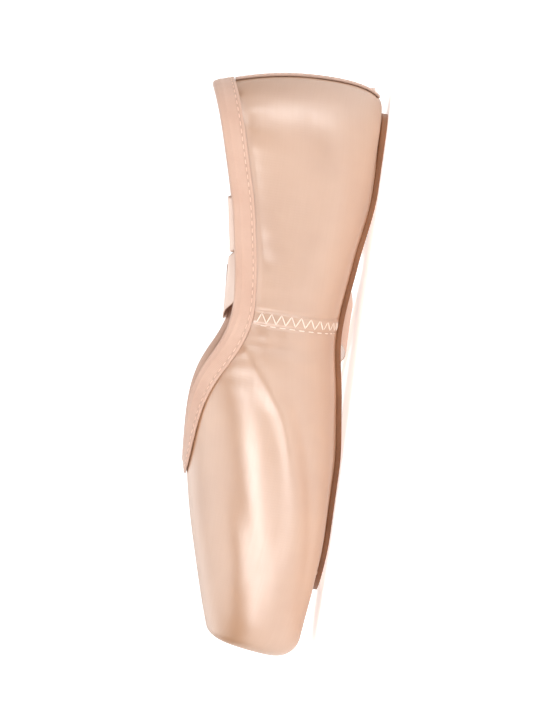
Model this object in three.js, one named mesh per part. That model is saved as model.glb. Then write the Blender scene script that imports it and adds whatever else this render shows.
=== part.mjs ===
// A pointe shoe standing empty on its sole: a satin upper with a blocked toe, a leather outsole, an insole,
// a binding round the collar, a strip over the back seam and two ribbons laid down beside it.
// Millimetres, +Z up, +X to the toe, +Y to the wearer's left, floor at Z = 0, origin under the middle.

import * as THREE from "three";

const { clamp, degToRad, lerp, smoothstep } = THREE.MathUtils;

// Sizes of the shoe
const LENGTH = 226;
const BALL_WIDTH = 82;
const INSTEP_HEIGHT = 60;
const HEEL_HEIGHT = 68;
const VAMP_LENGTH = 72;

// Sizes of the pieces
const GAP = 0.3;
const QUARTER_WALL = 1.8;
const BOX_WALL = 3.2;
const SOLE_THICK = 2.4;
const SOLE_MARGIN = 1.5;
const SOLE_BEVEL = 0.5;
const SEAM_SHARE = 6;
const INSOLE_THICK = 1.2;
const INSOLE_SPREAD = 1.2;
const INSOLE_BEVEL = 0.3;
const INSOLE_GAP = 1.6 * GAP;
const BINDING_THICK = 0.8;
const BINDING_GAP = 0.45;
const BINDING_OUTSIDE = 7.5;
const BINDING_INSIDE = 5.5;
const FOLD_RISE = 0.7;
const FOLD_REACH = 0.6;
const STRIP_THICK = 0.6;
const STRIP_HALF = 5.5;
const STRIP_FOOT = 1.28;
const RIBBON_WIDTH = 22;
const RIBBON_THICK = 0.5;
const RIBBON_LENGTH = 470;
const RIBBON_SEWN = 22;
const RIBBON_GAP = 0.4;
const RIBBON_STEP = 6;

// Rounding of the heel and the toe
const HEEL_ROUND = 32;
const HEEL_FLAT_ROUND = 15;
const HEEL_UNDER = 9;
const HEEL_LEAN = 8;
const HEEL_FADE = 45;
const TIP_EDGE = 4;
const TIP_UNDER = 9;
const TIP_TILT = degToRad(7);
const TIP_FADE = 40;
const LEVEL = 0.5;
const FLAT_MOST = 0.9;
const LOWER_POWER = 2.5;
const UPPER_POWER = 2.2;
const THROAT_FULLNESS = 23;
const THROAT_SOFTNESS = 7;

// Places along the last, from the back of the heel
const LAST = LENGTH - GAP - STRIP_THICK;
const BACK = -LENGTH / 2 + GAP + STRIP_THICK;
const THROAT = LAST - VAMP_LENGTH;
const THROAT_TURNS = THROAT - 30;
const BOX_BEGINS = THROAT - 10;
const BOX_FULL = THROAT + 35;
const SOLE_BACK = 10.5;
const SOLE_TIP = LAST - 26;
const OPEN_BACK = 30;
const OPEN_FRONT = THROAT + 34;
const INSOLE_BACK = 14;
const INSOLE_FRONT = LAST - 30;
const SEAT = SOLE_THICK + GAP;

// Rounding of the ends of the sole, of the opening that it closes and of the insole
const SOLE_BACK_ROUND = 12;
const SOLE_BACK_POWER = 3;
const SOLE_TIP_ROUND = 19;
const OPEN_BACK_ROUND = 10;
const OPEN_FRONT_ROUND = 12;
const INSOLE_BACK_ROUND = 15;
const INSOLE_FRONT_ROUND = 18;

// Small distances for slopes and for places that count as one
const SMALL = 0.002;
const BESIDE_SPINE = 0.004;
const TOUCHING = 1e-6;
const EDGE_STEP = 2;
const CORNERS_PER_MM = 1000;

// Steps round a half section of the upper: flat underside, up to the widest place, over to the collar
const OUTER_STEPS = [2, 7, 10];
const INNER_STEPS = [2, 5, 8];

// Sections of the last. at: share of the length from the heel. half: half-width as a share of half the ball
// width. widest: height of the widest place. crown: height that the section closes at, as a share of the
// instep height. lift: rise of the underside. flat: half-width of the flat underside.
const SECTIONS = [
  { at: 0.0, half: 0.65, widest: 27, crown: 1.73, lift: 0, flat: 16 },
  { at: 0.18, half: 0.665, widest: 26, crown: 1.66, lift: 0, flat: 17 },
  { at: 0.31, half: 0.725, widest: 26.5, crown: 1.53, lift: 3.5, flat: 15 },
  { at: 0.43, half: 0.805, widest: 27, crown: 1.35, lift: 6, flat: 14 },
  { at: 0.55, half: 0.94, widest: 25.5, crown: 1.15, lift: 2.5, flat: 19 },
  { at: 0.665, half: 1.0, widest: 23.5, crown: 1.01, lift: 0, flat: 24 },
  { at: 0.775, half: 0.965, widest: 21.5, crown: 0.92, lift: 0, flat: 24.5 },
  { at: 0.86, half: 0.89, widest: 21.5, crown: 0.835, lift: 1, flat: 22.5 },
  { at: 0.935, half: 0.765, widest: 22, crown: 0.76, lift: 2.6, flat: 19 },
  { at: 1.0, half: 0.585, widest: 23.5, crown: 0.69, lift: 4, flat: 13 },
];

// Height of the collar edge along the quarters. at: share of the length from the heel. height: share of the
// collar height at the heel.
const COLLAR = [
  { at: 0.0, height: 1.0 },
  { at: 0.13, height: 0.89 },
  { at: 0.27, height: 0.775 },
  { at: 0.4, height: 0.72 },
  { at: 0.47, height: 0.75 },
  { at: 0.535, height: 0.815 },
  { at: 0.6, height: 0.865 },
];
const COLLAR_FRONT = [84, 132];

// Smooth values between the rows of a table, level wherever two rows are alike
function column(rows, key, start, end) {
  const at = rows.map((row) => start + row.at * (end - start));
  const value = rows.map((row) => row[key]);
  const step = at.slice(1).map((x, i) => x - at[i]);
  const slope = step.map((h, i) => (value[i + 1] - value[i]) / h);
  const tangent = value.map((_, i) => {
    if (i === 0) return slope[0];
    if (i === slope.length) return slope[i - 1];
    if (slope[i - 1] * slope[i] <= 0) return 0;
    const before = 2 * step[i] + step[i - 1];
    const after = step[i] + 2 * step[i - 1];
    return (before + after) / (before / slope[i - 1] + after / slope[i]);
  });
  return (x) => {
    let i = step.findIndex((_, k) => x <= at[k + 1]);
    if (i < 0) i = step.length - 1;
    const t = clamp((x - at[i]) / step[i], 0, 1);
    const rise = t * t * (3 - 2 * t);
    const bend = tangent[i] * t * (1 - t) * (1 - t) - tangent[i + 1] * t * t * (1 - t);
    return value[i] + (value[i + 1] - value[i]) * rise + step[i] * bend;
  };
}

const sectionColumn = (key) => column(SECTIONS, key, 0, LAST);
const halfShare = sectionColumn("half");
const widestHeight = sectionColumn("widest");
const crownShare = sectionColumn("crown");
const lift = sectionColumn("lift");
const flatHalf = sectionColumn("flat");
const collarShare = column(COLLAR, "height", 0, LAST);

// How much of the full width is left near a round end, power 2 for a circle and more for a squarer end
function endShare(distance, radius, power = 2) {
  const short = clamp(1 - distance / radius, 0, 1);
  return Math.pow(1 - Math.pow(short, power), 1 / power);
}

const rounding = (distance, radius) => radius * (1 - endShare(distance, radius));
const wallAt = (s) => lerp(QUARTER_WALL, BOX_WALL, smoothstep(s, BOX_BEGINS, BOX_FULL));
const undersideAt = (s) => SEAT + lift(s) + rounding(LAST - s, TIP_UNDER);

// A point of the closed last. s runs along the length from the heel. q runs round a half section: 0 to 1 on
// the flat underside, 1 to 2 up to the widest place, 2 to 3 over to the crown.
function lastPoint(s, q) {
  const fromTip = LAST - s;
  const edge = rounding(fromTip, TIP_EDGE);
  const half = (halfShare(s) * BALL_WIDTH * endShare(s, HEEL_ROUND)) / 2 - edge;
  const flat = flatHalf(s) * endShare(s, HEEL_FLAT_ROUND);
  const narrow = Math.min(flat, half * FLAT_MOST);
  const under = undersideAt(s);
  const widest = widestHeight(s);
  const crown = crownShare(s) * INSTEP_HEIGHT - edge;
  const heelFade = Math.pow(Math.max(0, 1 - s / HEEL_FADE), 2);
  const tipFade = Math.pow(Math.max(0, 1 - fromTip / TIP_FADE), 2);
  let y = q * narrow;
  let z = under;
  let forward = HEEL_UNDER;
  if (q > 1 && q <= 2) {
    const turn = ((2 - q) * Math.PI) / 2;
    const out = Math.pow(Math.max(0, Math.cos(turn)), 2 / LOWER_POWER);
    y = narrow + (half - narrow) * out;
    z = widest - (widest - under) * Math.pow(Math.sin(turn), 2 / LOWER_POWER);
    forward = HEEL_UNDER * (1 - out);
  }
  if (q > 2) {
    const turn = ((q - 2) * Math.PI) / 2;
    y = half * Math.pow(Math.max(0, Math.cos(turn)), 2 / UPPER_POWER);
    z = widest + (crown - widest) * Math.pow(Math.sin(turn), 2 / UPPER_POWER);
    forward = HEEL_LEAN * Math.pow((z - widest) / (HEEL_HEIGHT - widest), 2);
  }
  const platformFoot = SEAT + lift(LAST) + TIP_UNDER;
  const x = BACK + s + heelFade * forward - tipFade * Math.tan(TIP_TILT) * (z - platformFoot);
  return new THREE.Vector3(x, Math.max(0, y), z);
}

// Which way the last runs along its length and round its section
function lastSlopes(s, q) {
  const ahead = lastPoint(Math.min(LAST, s + SMALL), q);
  const behind = lastPoint(Math.max(0, s - SMALL), q);
  const above = lastPoint(s, Math.min(3, q + SMALL));
  const below = lastPoint(s, Math.max(0, q - SMALL));
  const span = Math.min(LAST, s + SMALL) - Math.max(0, s - SMALL);
  const sweep = Math.min(3, q + SMALL) - Math.max(0, q - SMALL);
  return { along: ahead.sub(behind).divideScalar(span), round: above.sub(below).divideScalar(sweep) };
}

// At the heel's spine the flat has no width, so it faces straight down, and above it the slopes are taken
// just beside the spine
function lastNormal(s, q) {
  if (s <= 0 && q <= 1) return new THREE.Vector3(0, 0, -1);
  const { along, round } = lastSlopes(Math.max(s, BESIDE_SPINE), q);
  const normal = round.cross(along).normalize();
  if (s <= 0 || q >= 3 || q <= 0) normal.setY(0).normalize();
  return normal;
}

// A point that lies off the last by a distance, outwards where it is positive
function offLast(s, q, distance) {
  const point = lastPoint(s, q);
  const onMiddle = point.y < TOUCHING;
  point.addScaledVector(lastNormal(s, q), distance);
  if (onMiddle) point.setY(0);
  return point;
}

// Where the collar edge cuts a section: by its height on the quarters, by its width round the throat
function collarTurn(s) {
  if (s >= THROAT) return 3;
  const widest = widestHeight(s);
  const rise = (collarShare(s) * HEEL_HEIGHT - widest) / (crownShare(s) * INSTEP_HEIGHT - widest);
  const byHeight = Math.asin(Math.pow(rise, UPPER_POWER / 2));
  const half = (halfShare(s) * BALL_WIDTH) / 2;
  const open = Math.sqrt(THROAT_FULLNESS * (THROAT - s)) / half;
  const kept = open / Math.pow(1 + Math.pow(open, THROAT_SOFTNESS), 1 / THROAT_SOFTNESS);
  const byWidth = Math.acos(Math.pow(kept, UPPER_POWER / 2));
  const front = smoothstep(s, ...COLLAR_FRONT);
  return 2 + lerp(byHeight, byWidth, front) / (Math.PI / 2);
}

const soleWidth = (x) => Math.max(0, flatHalf(x) - SOLE_MARGIN);
const soleHalf = (x) =>
  soleWidth(x) *
  endShare(x - SOLE_BACK, SOLE_BACK_ROUND, SOLE_BACK_POWER) *
  endShare(SOLE_TIP - x, SOLE_TIP_ROUND);
const openHalf = (s) =>
  Math.max(0, soleWidth(s) - SEAM_SHARE) *
  endShare(s - OPEN_BACK, OPEN_BACK_ROUND) *
  endShare(OPEN_FRONT - s, OPEN_FRONT_ROUND);

// Places between two ends, evenly, or closer together towards the first or the last of them
const even = (t) => t;
const closeFirst = (t) => 1 - Math.cos((t * Math.PI) / 2);
const closeLast = (t) => Math.sin((t * Math.PI) / 2);
const closeBoth = (t) => (1 - Math.cos(t * Math.PI)) / 2;
const closeEnd = (t) => 1 - (1 - t) * (1 - t);
function places(from, to, count, ease = even) {
  const inside = Array.from({ length: count - 1 }, (_, i) => from + (to - from) * ease((i + 1) / count));
  return [from, ...inside, to];
}
const joinPlaces = (...lists) => lists.flatMap((list, i) => (i ? list.slice(1) : list));

const COLLAR_STATIONS = joinPlaces(
  places(0, OPEN_BACK, 8, closeFirst),
  places(OPEN_BACK, THROAT_TURNS, 11),
  places(THROAT_TURNS, THROAT, 8, closeEnd),
);
const STATIONS = joinPlaces(
  COLLAR_STATIONS,
  places(THROAT, OPEN_FRONT, 5, closeLast),
  places(OPEN_FRONT, LAST - TIP_UNDER, 4),
  places(LAST - TIP_UNDER, LAST - TIP_EDGE, 2),
  places(LAST - TIP_EDGE, LAST, 4, closeLast),
);

// Turns lists of triangles into one closed geometry with shared corners
function closed(triangles) {
  const corners = new Map();
  const positions = [];
  const index = [];
  const number = (point) => {
    const key = [point.x, point.y, point.z].map((value) => Math.round(value * CORNERS_PER_MM)).join(" ");
    if (!corners.has(key)) {
      corners.set(key, positions.length / 3);
      positions.push(point.x, point.y, point.z);
    }
    return corners.get(key);
  };
  for (const triangle of triangles) {
    const [a, b, c] = triangle.map(number);
    if (a !== b && b !== c && a !== c) index.push(a, b, c);
  }
  const geometry = new THREE.BufferGeometry();
  geometry.setAttribute("position", new THREE.Float32BufferAttribute(positions, 3));
  geometry.setIndex(index);
  geometry.computeVertexNormals();
  return geometry;
}

// Triangles between the neighbours of a grid of points, split along the shorter way across
function skin(rows) {
  const triangles = [];
  for (let i = 0; i + 1 < rows.length; i += 1) {
    for (let k = 0; k + 1 < rows[i].length; k += 1) {
      const a = rows[i][k];
      const b = rows[i + 1][k];
      const c = rows[i + 1][k + 1];
      const d = rows[i][k + 1];
      if (a.distanceTo(c) <= b.distanceTo(d)) triangles.push([a, b, c], [a, c, d]);
      else triangles.push([a, b, d], [b, c, d]);
    }
  }
  return triangles;
}

const turned = (triangles) => triangles.map(([a, b, c]) => [a, c, b]);
const mirrored = (triangles) =>
  turned(triangles).map((triangle) => triangle.map((p) => new THREE.Vector3(p.x, -p.y, p.z)));
const bothSides = (triangles) => [...triangles, ...mirrored(triangles)];

// The middle line of the toe's flat end, where corners nearly level with its bottom or top share one place
function endLine(row) {
  const top = row.length - 1;
  const first = row.findIndex((p) => p.z > row[0].z + LEVEL);
  const last = row.findLastIndex((p) => p.z < row[top].z - LEVEL);
  return row.map((_, i) => {
    const p = row[i === top ? top : clamp(i, first, last)];
    return new THREE.Vector3(p.x, 0, p.z);
  });
}

// The upper: an outer and an inner skin, joined at the collar edge and round the opening for the sole
function makeUpper() {
  const roundSection = (s, counts) => {
    const low = Math.min(1, openHalf(s) / Math.max(lastPoint(s, 1).y, TOUCHING));
    const high = collarTurn(s);
    return joinPlaces(
      places(low, 1, counts[0]),
      places(1, 2, counts[1], closeBoth),
      places(2, high, counts[2], closeBoth),
    );
  };
  const outer = STATIONS.map((s) => roundSection(s, OUTER_STEPS).map((q) => offLast(s, q, 0)));
  const inner = STATIONS.map((s) => roundSection(s, INNER_STEPS).map((q) => offLast(s, q, -wallAt(s))));
  outer.push(endLine(outer.at(-1)));
  inner.push(endLine(inner.at(-1)));
  const collarRim = STATIONS.map((_, i) => [outer[i].at(-1), inner[i].at(-1)]);
  const soleRim = STATIONS.map((_, i) => [inner[i][0], outer[i][0]]);
  const isCollar = STATIONS.filter((s) => s <= THROAT).length;
  const soleFrom = STATIONS.findIndex((s) => s >= OPEN_BACK);
  const soleTo = STATIONS.findIndex((s) => s >= OPEN_FRONT);
  return closed(
    bothSides([
      ...turned(skin(outer)),
      ...skin(inner),
      ...turned(skin(collarRim.slice(0, isCollar))),
      ...turned(skin(soleRim.slice(soleFrom, soleTo + 1))),
    ]),
  );
}

// A flat layer that follows the underside, with its edges bevelled at the bottom
function makeLayer(stations, half, bottom, thick, bevel) {
  const across = [-1, -0.5, 0, 0.5, 1];
  const row = (x, inset, z) =>
    across.map((share) => new THREE.Vector3(BACK + x, share * Math.max(0, half(x) - inset), z));
  const loops = stations.map((x) => {
    const top = row(x, 0, bottom(x) + thick);
    const side = row(x, 0, bottom(x) + bevel);
    const low = row(x, bevel, bottom(x));
    return [...low, side.at(-1), ...top.reverse(), side[0], low[0]];
  });
  return closed(turned(skin(loops)));
}

// The collar edge: its place on the last, the way down from it and the way out
const EDGE = COLLAR_STATIONS.map((s) => lastPoint(s, collarTurn(s)));
const acrossMiddle = (p) => new THREE.Vector3(p.x, -p.y, p.z);
function edgeFrame(i) {
  const before = i > 0 ? EDGE[i - 1] : acrossMiddle(EDGE[1]);
  const after = i + 1 < EDGE.length ? EDGE[i + 1] : acrossMiddle(EDGE[i - 1]);
  const s = COLLAR_STATIONS[i];
  const tangent = after.clone().sub(before).normalize();
  return { s, q: collarTurn(s), down: lastNormal(s, collarTurn(s)).cross(tangent).normalize() };
}

// The point a distance down from the collar edge, measured over the last, and off it
function belowEdge(frame, depth, distance) {
  let { s, q } = frame;
  const steps = 4;
  for (let i = 0; i < steps; i += 1) {
    const { along, round } = lastSlopes(Math.max(s, BESIDE_SPINE), q);
    const way = frame.down.clone().multiplyScalar(depth / steps);
    const aa = along.dot(along);
    const ar = along.dot(round);
    const rr = round.dot(round);
    const size = aa * rr - ar * ar;
    const ds = (way.dot(along) * rr - way.dot(round) * ar) / size;
    const dq = (way.dot(round) * aa - way.dot(along) * ar) / size;
    s = frame.s === 0 ? 0 : Math.max(0, s + ds);
    q = frame.q === 3 ? 3 : Math.min(3, q + dq);
  }
  return offLast(s, q, distance);
}

// The binding: a tape folded over the collar edge, from the outside to the inside
function makeBinding() {
  const loops = EDGE.map((_, i) => {
    const frame = edgeFrame(i);
    const wall = wallAt(frame.s);
    const near = BINDING_GAP;
    const far = BINDING_GAP + BINDING_THICK;
    const section = [
      [BINDING_OUTSIDE, far],
      [BINDING_OUTSIDE / 2, far],
      [0, far],
      [-FOLD_RISE * far, FOLD_REACH * far],
      [-far, -wall / 2],
      [-FOLD_RISE * far, -wall - FOLD_REACH * far],
      [0, -wall - far],
      [BINDING_INSIDE, -wall - far],
      [BINDING_INSIDE, -wall - near],
      [0, -wall - near],
      [-near, -wall],
      [-near, 0],
      [0, near],
      [BINDING_OUTSIDE / 2, near],
      [BINDING_OUTSIDE, near],
      [BINDING_OUTSIDE, far],
    ];
    return section.map(([depth, distance]) => belowEdge(frame, depth, distance));
  });
  return closed(bothSides(turned(skin(loops))));
}

// The strip over the back seam, from just above the sole to just under the binding
function makeBackStrip() {
  const heel = edgeFrame(0);
  const topTurn = collarTurn(0);
  const perTurn = lastSlopes(BESIDE_SPINE, topTurn).round.length();
  const high = topTurn - (BINDING_OUTSIDE + GAP) / perTurn;
  const turns = joinPlaces(places(STRIP_FOOT, 2, 6), places(2, high, 7));
  const sideAt = (q, y) => {
    const halvings = 40;
    let near = 0;
    let far = HEEL_ROUND;
    for (let i = 0; i < halvings; i += 1) {
      const middle = (near + far) / 2;
      if (lastPoint(middle, q).y < y) near = middle;
      else far = middle;
    }
    return near;
  };
  const strip = (distance) =>
    turns.map((q) => places(0, STRIP_HALF, 2).map((y) => offLast(y ? sideAt(q, y) : heel.s, q, distance)));
  const outer = strip(GAP + STRIP_THICK);
  const inner = strip(GAP);
  const edges = [
    ...skin(outer.map((row, i) => [row.at(-1), inner[i].at(-1)])),
    ...skin([inner[0], outer[0]]),
    ...skin([outer.at(-1), inner.at(-1)]),
  ];
  return closed(bothSides([...skin(outer), ...turned(skin(inner)), ...edges]));
}

// Routes of the ribbons over the floor beyond the collar. x, y and z: the middle of the ribbon. bearing: the
// way its width points, in degrees from the toe. lean: how far it stands up on its edge, in degrees.
const RIGHT_HANG = [
  { x: -53.8, y: -32.6, z: 15, bearing: 0, lean: 0 },
  { x: -54, y: -36.2, z: 6, bearing: 0, lean: 0 },
];
const RIGHT_FLOOR = [
  { x: -54.5, y: -46, bearing: 0, lean: 0 },
  { x: -55, y: -62, bearing: -6, lean: 10 },
  { x: -57, y: -80, bearing: -20, lean: 42 },
  { x: -61, y: -98, bearing: -44, lean: 70 },
  { x: -72, y: -109, bearing: -76, lean: 78 },
  { x: -87, y: -112, bearing: -88, lean: 78 },
  { x: -101, y: -118, bearing: -62, lean: 78 },
  { x: -108.5, y: -132, bearing: -10, lean: 78 },
  { x: -105, y: -149, bearing: 38, lean: 78 },
  { x: -91, y: -160, bearing: 76, lean: 77 },
  { x: -71, y: -161, bearing: 94, lean: 64 },
  { x: -49, y: -154, bearing: 104, lean: 40 },
  { x: -28, y: -147, bearing: 100, lean: 18 },
  { x: -6, y: -145, bearing: 88, lean: 5 },
  { x: 16, y: -149, bearing: 80, lean: 0 },
  { x: 38, y: -156, bearing: 79, lean: 0 },
  { x: 60, y: -159, bearing: 88, lean: 0 },
  { x: 82, y: -157, bearing: 98, lean: 0 },
  { x: 104, y: -151, bearing: 106, lean: 0 },
  { x: 124, y: -144, bearing: 110, lean: 0 },
  { x: 138, y: -139, bearing: 110, lean: 0 },
];
const LEFT_ACROSS = [
  { x: -49.4, y: 20.5, z: 47.8, bearing: 4, lean: 0 },
  { x: -47, y: 13, z: 46.8, bearing: 16, lean: 0 },
  { x: -40, y: 0, z: 46.5, bearing: 28, lean: 0 },
  { x: -32.5, y: -12, z: 48.5, bearing: 24, lean: 0 },
  { x: -26.5, y: -21, z: 52.2, bearing: 6, lean: 0 },
];
const LEFT_HANG = [
  { x: -22.6, y: -35.2, z: 15, bearing: 2, lean: 4 },
  { x: -20, y: -39.5, z: 5.5, bearing: 12, lean: 3 },
];
const LEFT_FLOOR = [
  { x: -12, y: -52, bearing: 30, lean: 0 },
  { x: -1, y: -67, bearing: 40, lean: 14 },
  { x: 15, y: -80, bearing: 58, lean: 44 },
  { x: 34, y: -86, bearing: 82, lean: 68 },
  { x: 54, y: -86, bearing: 94, lean: 76 },
  { x: 74, y: -84, bearing: 94, lean: 78 },
  { x: 93, y: -86, bearing: 72, lean: 78 },
  { x: 107, y: -96, bearing: 30, lean: 78 },
  { x: 109, y: -110, bearing: -18, lean: 78 },
  { x: 100, y: -121, bearing: -64, lean: 78 },
  { x: 84, y: -124, bearing: -92, lean: 70 },
  { x: 64, y: -120, bearing: -102, lean: 48 },
  { x: 43, y: -116, bearing: -98, lean: 22 },
  { x: 21, y: -115, bearing: -90, lean: 6 },
  { x: -2, y: -116, bearing: -86, lean: 0 },
  { x: -25, y: -118, bearing: -88, lean: 0 },
  { x: -48, y: -118, bearing: -92, lean: 0 },
  { x: -64, y: -118, bearing: -90, lean: 0 },
];
const RIBBON_AT = 62;
const RIBBON_CROSSES_AT = 89;
const CROSSING_SLACK = 1;
const RIGHT_RISE = 0.7;
const LEFT_RISE = 2.2;

// Depths of the ribbons' places below the collar edge
const RIGHT_INSIDE = [RIBBON_SEWN, 12, 5];
const LEFT_INSIDE = [RIBBON_SEWN, 14, 7];
const DOWN_OUTSIDE = [6, 14, 22];

const wideAway = (bearing, lean) =>
  new THREE.Vector3(
    Math.cos(degToRad(lean)) * Math.cos(degToRad(bearing)),
    Math.cos(degToRad(lean)) * Math.sin(degToRad(bearing)),
    Math.sin(degToRad(lean)),
  );
const freeRow = ({ x, y, z, bearing, lean }) => ({
  middle: new THREE.Vector3(x, y, z),
  wide: wideAway(bearing, lean),
});
const floorHeight = (lean) => GAP + (RIBBON_WIDTH / 2) * Math.sin(degToRad(lean)) + RIBBON_THICK / 2;
const floorRow = (row) => freeRow({ ...row, z: floorHeight(row.lean) });

// Rows of a ribbon against the collar wall. side: 1 for the left wall, -1 for the right. places: how far
// down from the edge and how far off the last.
function wallRows(s, side, list) {
  const ahead = lastPoint(s + EDGE_STEP, collarTurn(s + EDGE_STEP));
  const behind = lastPoint(s - EDGE_STEP, collarTurn(s - EDGE_STEP));
  const tangent = ahead.sub(behind).normalize();
  const down = lastNormal(s, collarTurn(s)).cross(tangent).normalize();
  const frame = { s, q: collarTurn(s), down };
  return list.map(([depth, distance]) => {
    const middle = belowEdge(frame, depth, distance);
    return {
      middle: middle.setY(middle.y * side),
      wide: new THREE.Vector3(tangent.x, tangent.y * side, tangent.z),
    };
  });
}

const RIBBON_OFF = BINDING_GAP + BINDING_THICK + RIBBON_GAP + RIBBON_THICK / 2;
const ribbonInside = (depths) => depths.map((depth) => [depth, -QUARTER_WALL - RIBBON_OFF]);
const ribbonOutside = (depths, slack = 0) => depths.map((depth) => [depth, RIBBON_OFF + slack]);
const ribbonOver = (from, rise, slack = 0) =>
  places(from, 0, 4).map((turn) => [
    (RIBBON_OFF + rise) * Math.sin(turn),
    -QUARTER_WALL / 2 + (QUARTER_WALL / 2 + RIBBON_OFF + slack) * Math.cos(turn),
  ]);

// A flat ribbon along its rows, kept clear of the floor and cut off at its real length
function makeRibbon(rows) {
  const curve = new THREE.CatmullRomCurve3(
    rows.map((row) => row.middle),
    false,
    "centripetal",
  );
  curve.arcLengthDivisions = 4000;
  const end = curve.getUtoTmapping(0, RIBBON_LENGTH);
  const spans = rows.length - 1;
  const stops = [];
  for (let i = 0; i < spans; i += 1) {
    const count = Math.max(1, Math.ceil(rows[i].middle.distanceTo(rows[i + 1].middle) / RIBBON_STEP));
    for (let k = 0; k < count; k += 1) stops.push((i + k / count) / spans);
  }
  const face = (side) =>
    [...stops.filter((t) => t < end - SMALL), end].map((t) => {
      const i = Math.min(spans - 1, Math.floor(t * spans));
      const wide = rows[i].wide.clone().lerp(rows[i + 1].wide, t * spans - i);
      const way = curve.getTangent(t);
      wide.addScaledVector(way, -wide.dot(way)).normalize();
      const thin = way.clone().cross(wide).normalize();
      const reach = (Math.abs(wide.z) * RIBBON_WIDTH + Math.abs(thin.z) * RIBBON_THICK) / 2;
      const middle = curve.getPoint(t);
      middle.setZ(Math.max(middle.z, GAP + reach)).addScaledVector(thin, (side * RIBBON_THICK) / 2);
      return [0.5, 0, -0.5].map((share) => middle.clone().addScaledVector(wide, share * RIBBON_WIDTH));
    });
  const top = face(1);
  const bottom = face(-1);
  return closed([
    ...turned(skin(top)),
    ...skin(bottom),
    ...skin(top.map((row, i) => [row[0], bottom[i][0]])),
    ...turned(skin(top.map((row, i) => [row.at(-1), bottom[i].at(-1)]))),
    ...skin([top[0], bottom[0]]),
    ...turned(skin([top.at(-1), bottom.at(-1)])),
  ]);
}

const PALETTE = {
  satin: { color: 0xe7c3ad, roughness: 0.42, metalness: 0 },
  leather: { color: 0xecc9b4, roughness: 0.7, metalness: 0 },
  board: { color: 0xe9dcc8, roughness: 0.85, metalness: 0 },
  tape: { color: 0xeec8b4, roughness: 0.65, metalness: 0 },
};

const shoe = new THREE.Group();
shoe.name = "pointe_shoe";
function add(name, geometry, look) {
  const mesh = new THREE.Mesh(geometry, new THREE.MeshStandardMaterial(PALETTE[look]));
  mesh.name = name;
  shoe.add(mesh);
}

const soleStations = joinPlaces(
  places(SOLE_BACK, SOLE_BACK + SOLE_BACK_ROUND, 5, closeFirst),
  places(SOLE_BACK + SOLE_BACK_ROUND, SOLE_TIP - SOLE_TIP_ROUND, 16),
  places(SOLE_TIP - SOLE_TIP_ROUND, SOLE_TIP, 7, closeLast),
);
const INSOLE_STRAIGHT = [INSOLE_BACK + 12, INSOLE_FRONT - 16];
const insoleStations = joinPlaces(
  places(INSOLE_BACK, INSOLE_STRAIGHT[0], 4, closeFirst),
  places(...INSOLE_STRAIGHT, 12),
  places(INSOLE_STRAIGHT[1], INSOLE_FRONT, 5, closeLast),
);
const soleSeat = (x) => undersideAt(x) - SEAT;
const insoleHalf = (x) =>
  (flatHalf(x) + INSOLE_SPREAD) *
  endShare(x - INSOLE_BACK, INSOLE_BACK_ROUND) *
  endShare(INSOLE_FRONT - x, INSOLE_FRONT_ROUND);
const insoleSeat = (x) => undersideAt(x) + wallAt(x) + INSOLE_GAP;

add("upper", makeUpper(), "satin");
add("outsole", makeLayer(soleStations, soleHalf, soleSeat, SOLE_THICK, SOLE_BEVEL), "leather");
add("insole", makeLayer(insoleStations, insoleHalf, insoleSeat, INSOLE_THICK, INSOLE_BEVEL), "board");
add("binding", makeBinding(), "tape");
add("back_strip", makeBackStrip(), "tape");
add(
  "ribbon_right",
  makeRibbon([
    ...wallRows(RIBBON_AT, -1, ribbonInside(RIGHT_INSIDE)),
    ...wallRows(RIBBON_AT, -1, ribbonOver(-Math.PI, RIGHT_RISE)),
    ...wallRows(RIBBON_AT, -1, ribbonOutside(DOWN_OUTSIDE)),
    ...RIGHT_HANG.map(freeRow),
    ...RIGHT_FLOOR.map(floorRow),
  ]),
  "satin",
);
add(
  "ribbon_left",
  makeRibbon([
    ...wallRows(RIBBON_AT, 1, ribbonInside(LEFT_INSIDE)),
    ...LEFT_ACROSS.map(freeRow),
    ...wallRows(RIBBON_CROSSES_AT, -1, ribbonOver(-Math.PI / 2, LEFT_RISE, CROSSING_SLACK)),
    ...wallRows(RIBBON_CROSSES_AT, -1, ribbonOutside(DOWN_OUTSIDE, CROSSING_SLACK)),
    ...LEFT_HANG.map(freeRow),
    ...LEFT_FLOOR.map(floorRow),
  ]),
  "satin",
);

export default shoe;
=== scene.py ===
"""Looks of a pointe shoe: satin upper, leather sole, bound collar and two ribbons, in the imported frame."""
import math
from collections import namedtuple

import bpy
import numpy as np
from mathutils import Matrix, Vector


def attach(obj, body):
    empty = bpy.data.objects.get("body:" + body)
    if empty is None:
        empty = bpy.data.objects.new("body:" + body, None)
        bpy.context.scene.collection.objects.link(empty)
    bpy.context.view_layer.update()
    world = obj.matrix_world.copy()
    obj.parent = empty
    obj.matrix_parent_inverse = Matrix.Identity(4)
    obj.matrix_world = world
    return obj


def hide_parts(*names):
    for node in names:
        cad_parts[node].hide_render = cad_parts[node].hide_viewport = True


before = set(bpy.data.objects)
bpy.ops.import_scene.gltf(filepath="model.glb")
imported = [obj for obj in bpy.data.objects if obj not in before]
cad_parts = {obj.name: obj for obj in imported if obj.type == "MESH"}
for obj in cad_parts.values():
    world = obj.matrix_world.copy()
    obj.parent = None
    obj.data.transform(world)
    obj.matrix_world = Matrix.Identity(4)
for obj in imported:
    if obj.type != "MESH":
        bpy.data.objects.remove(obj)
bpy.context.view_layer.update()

MM = 0.001

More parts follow.
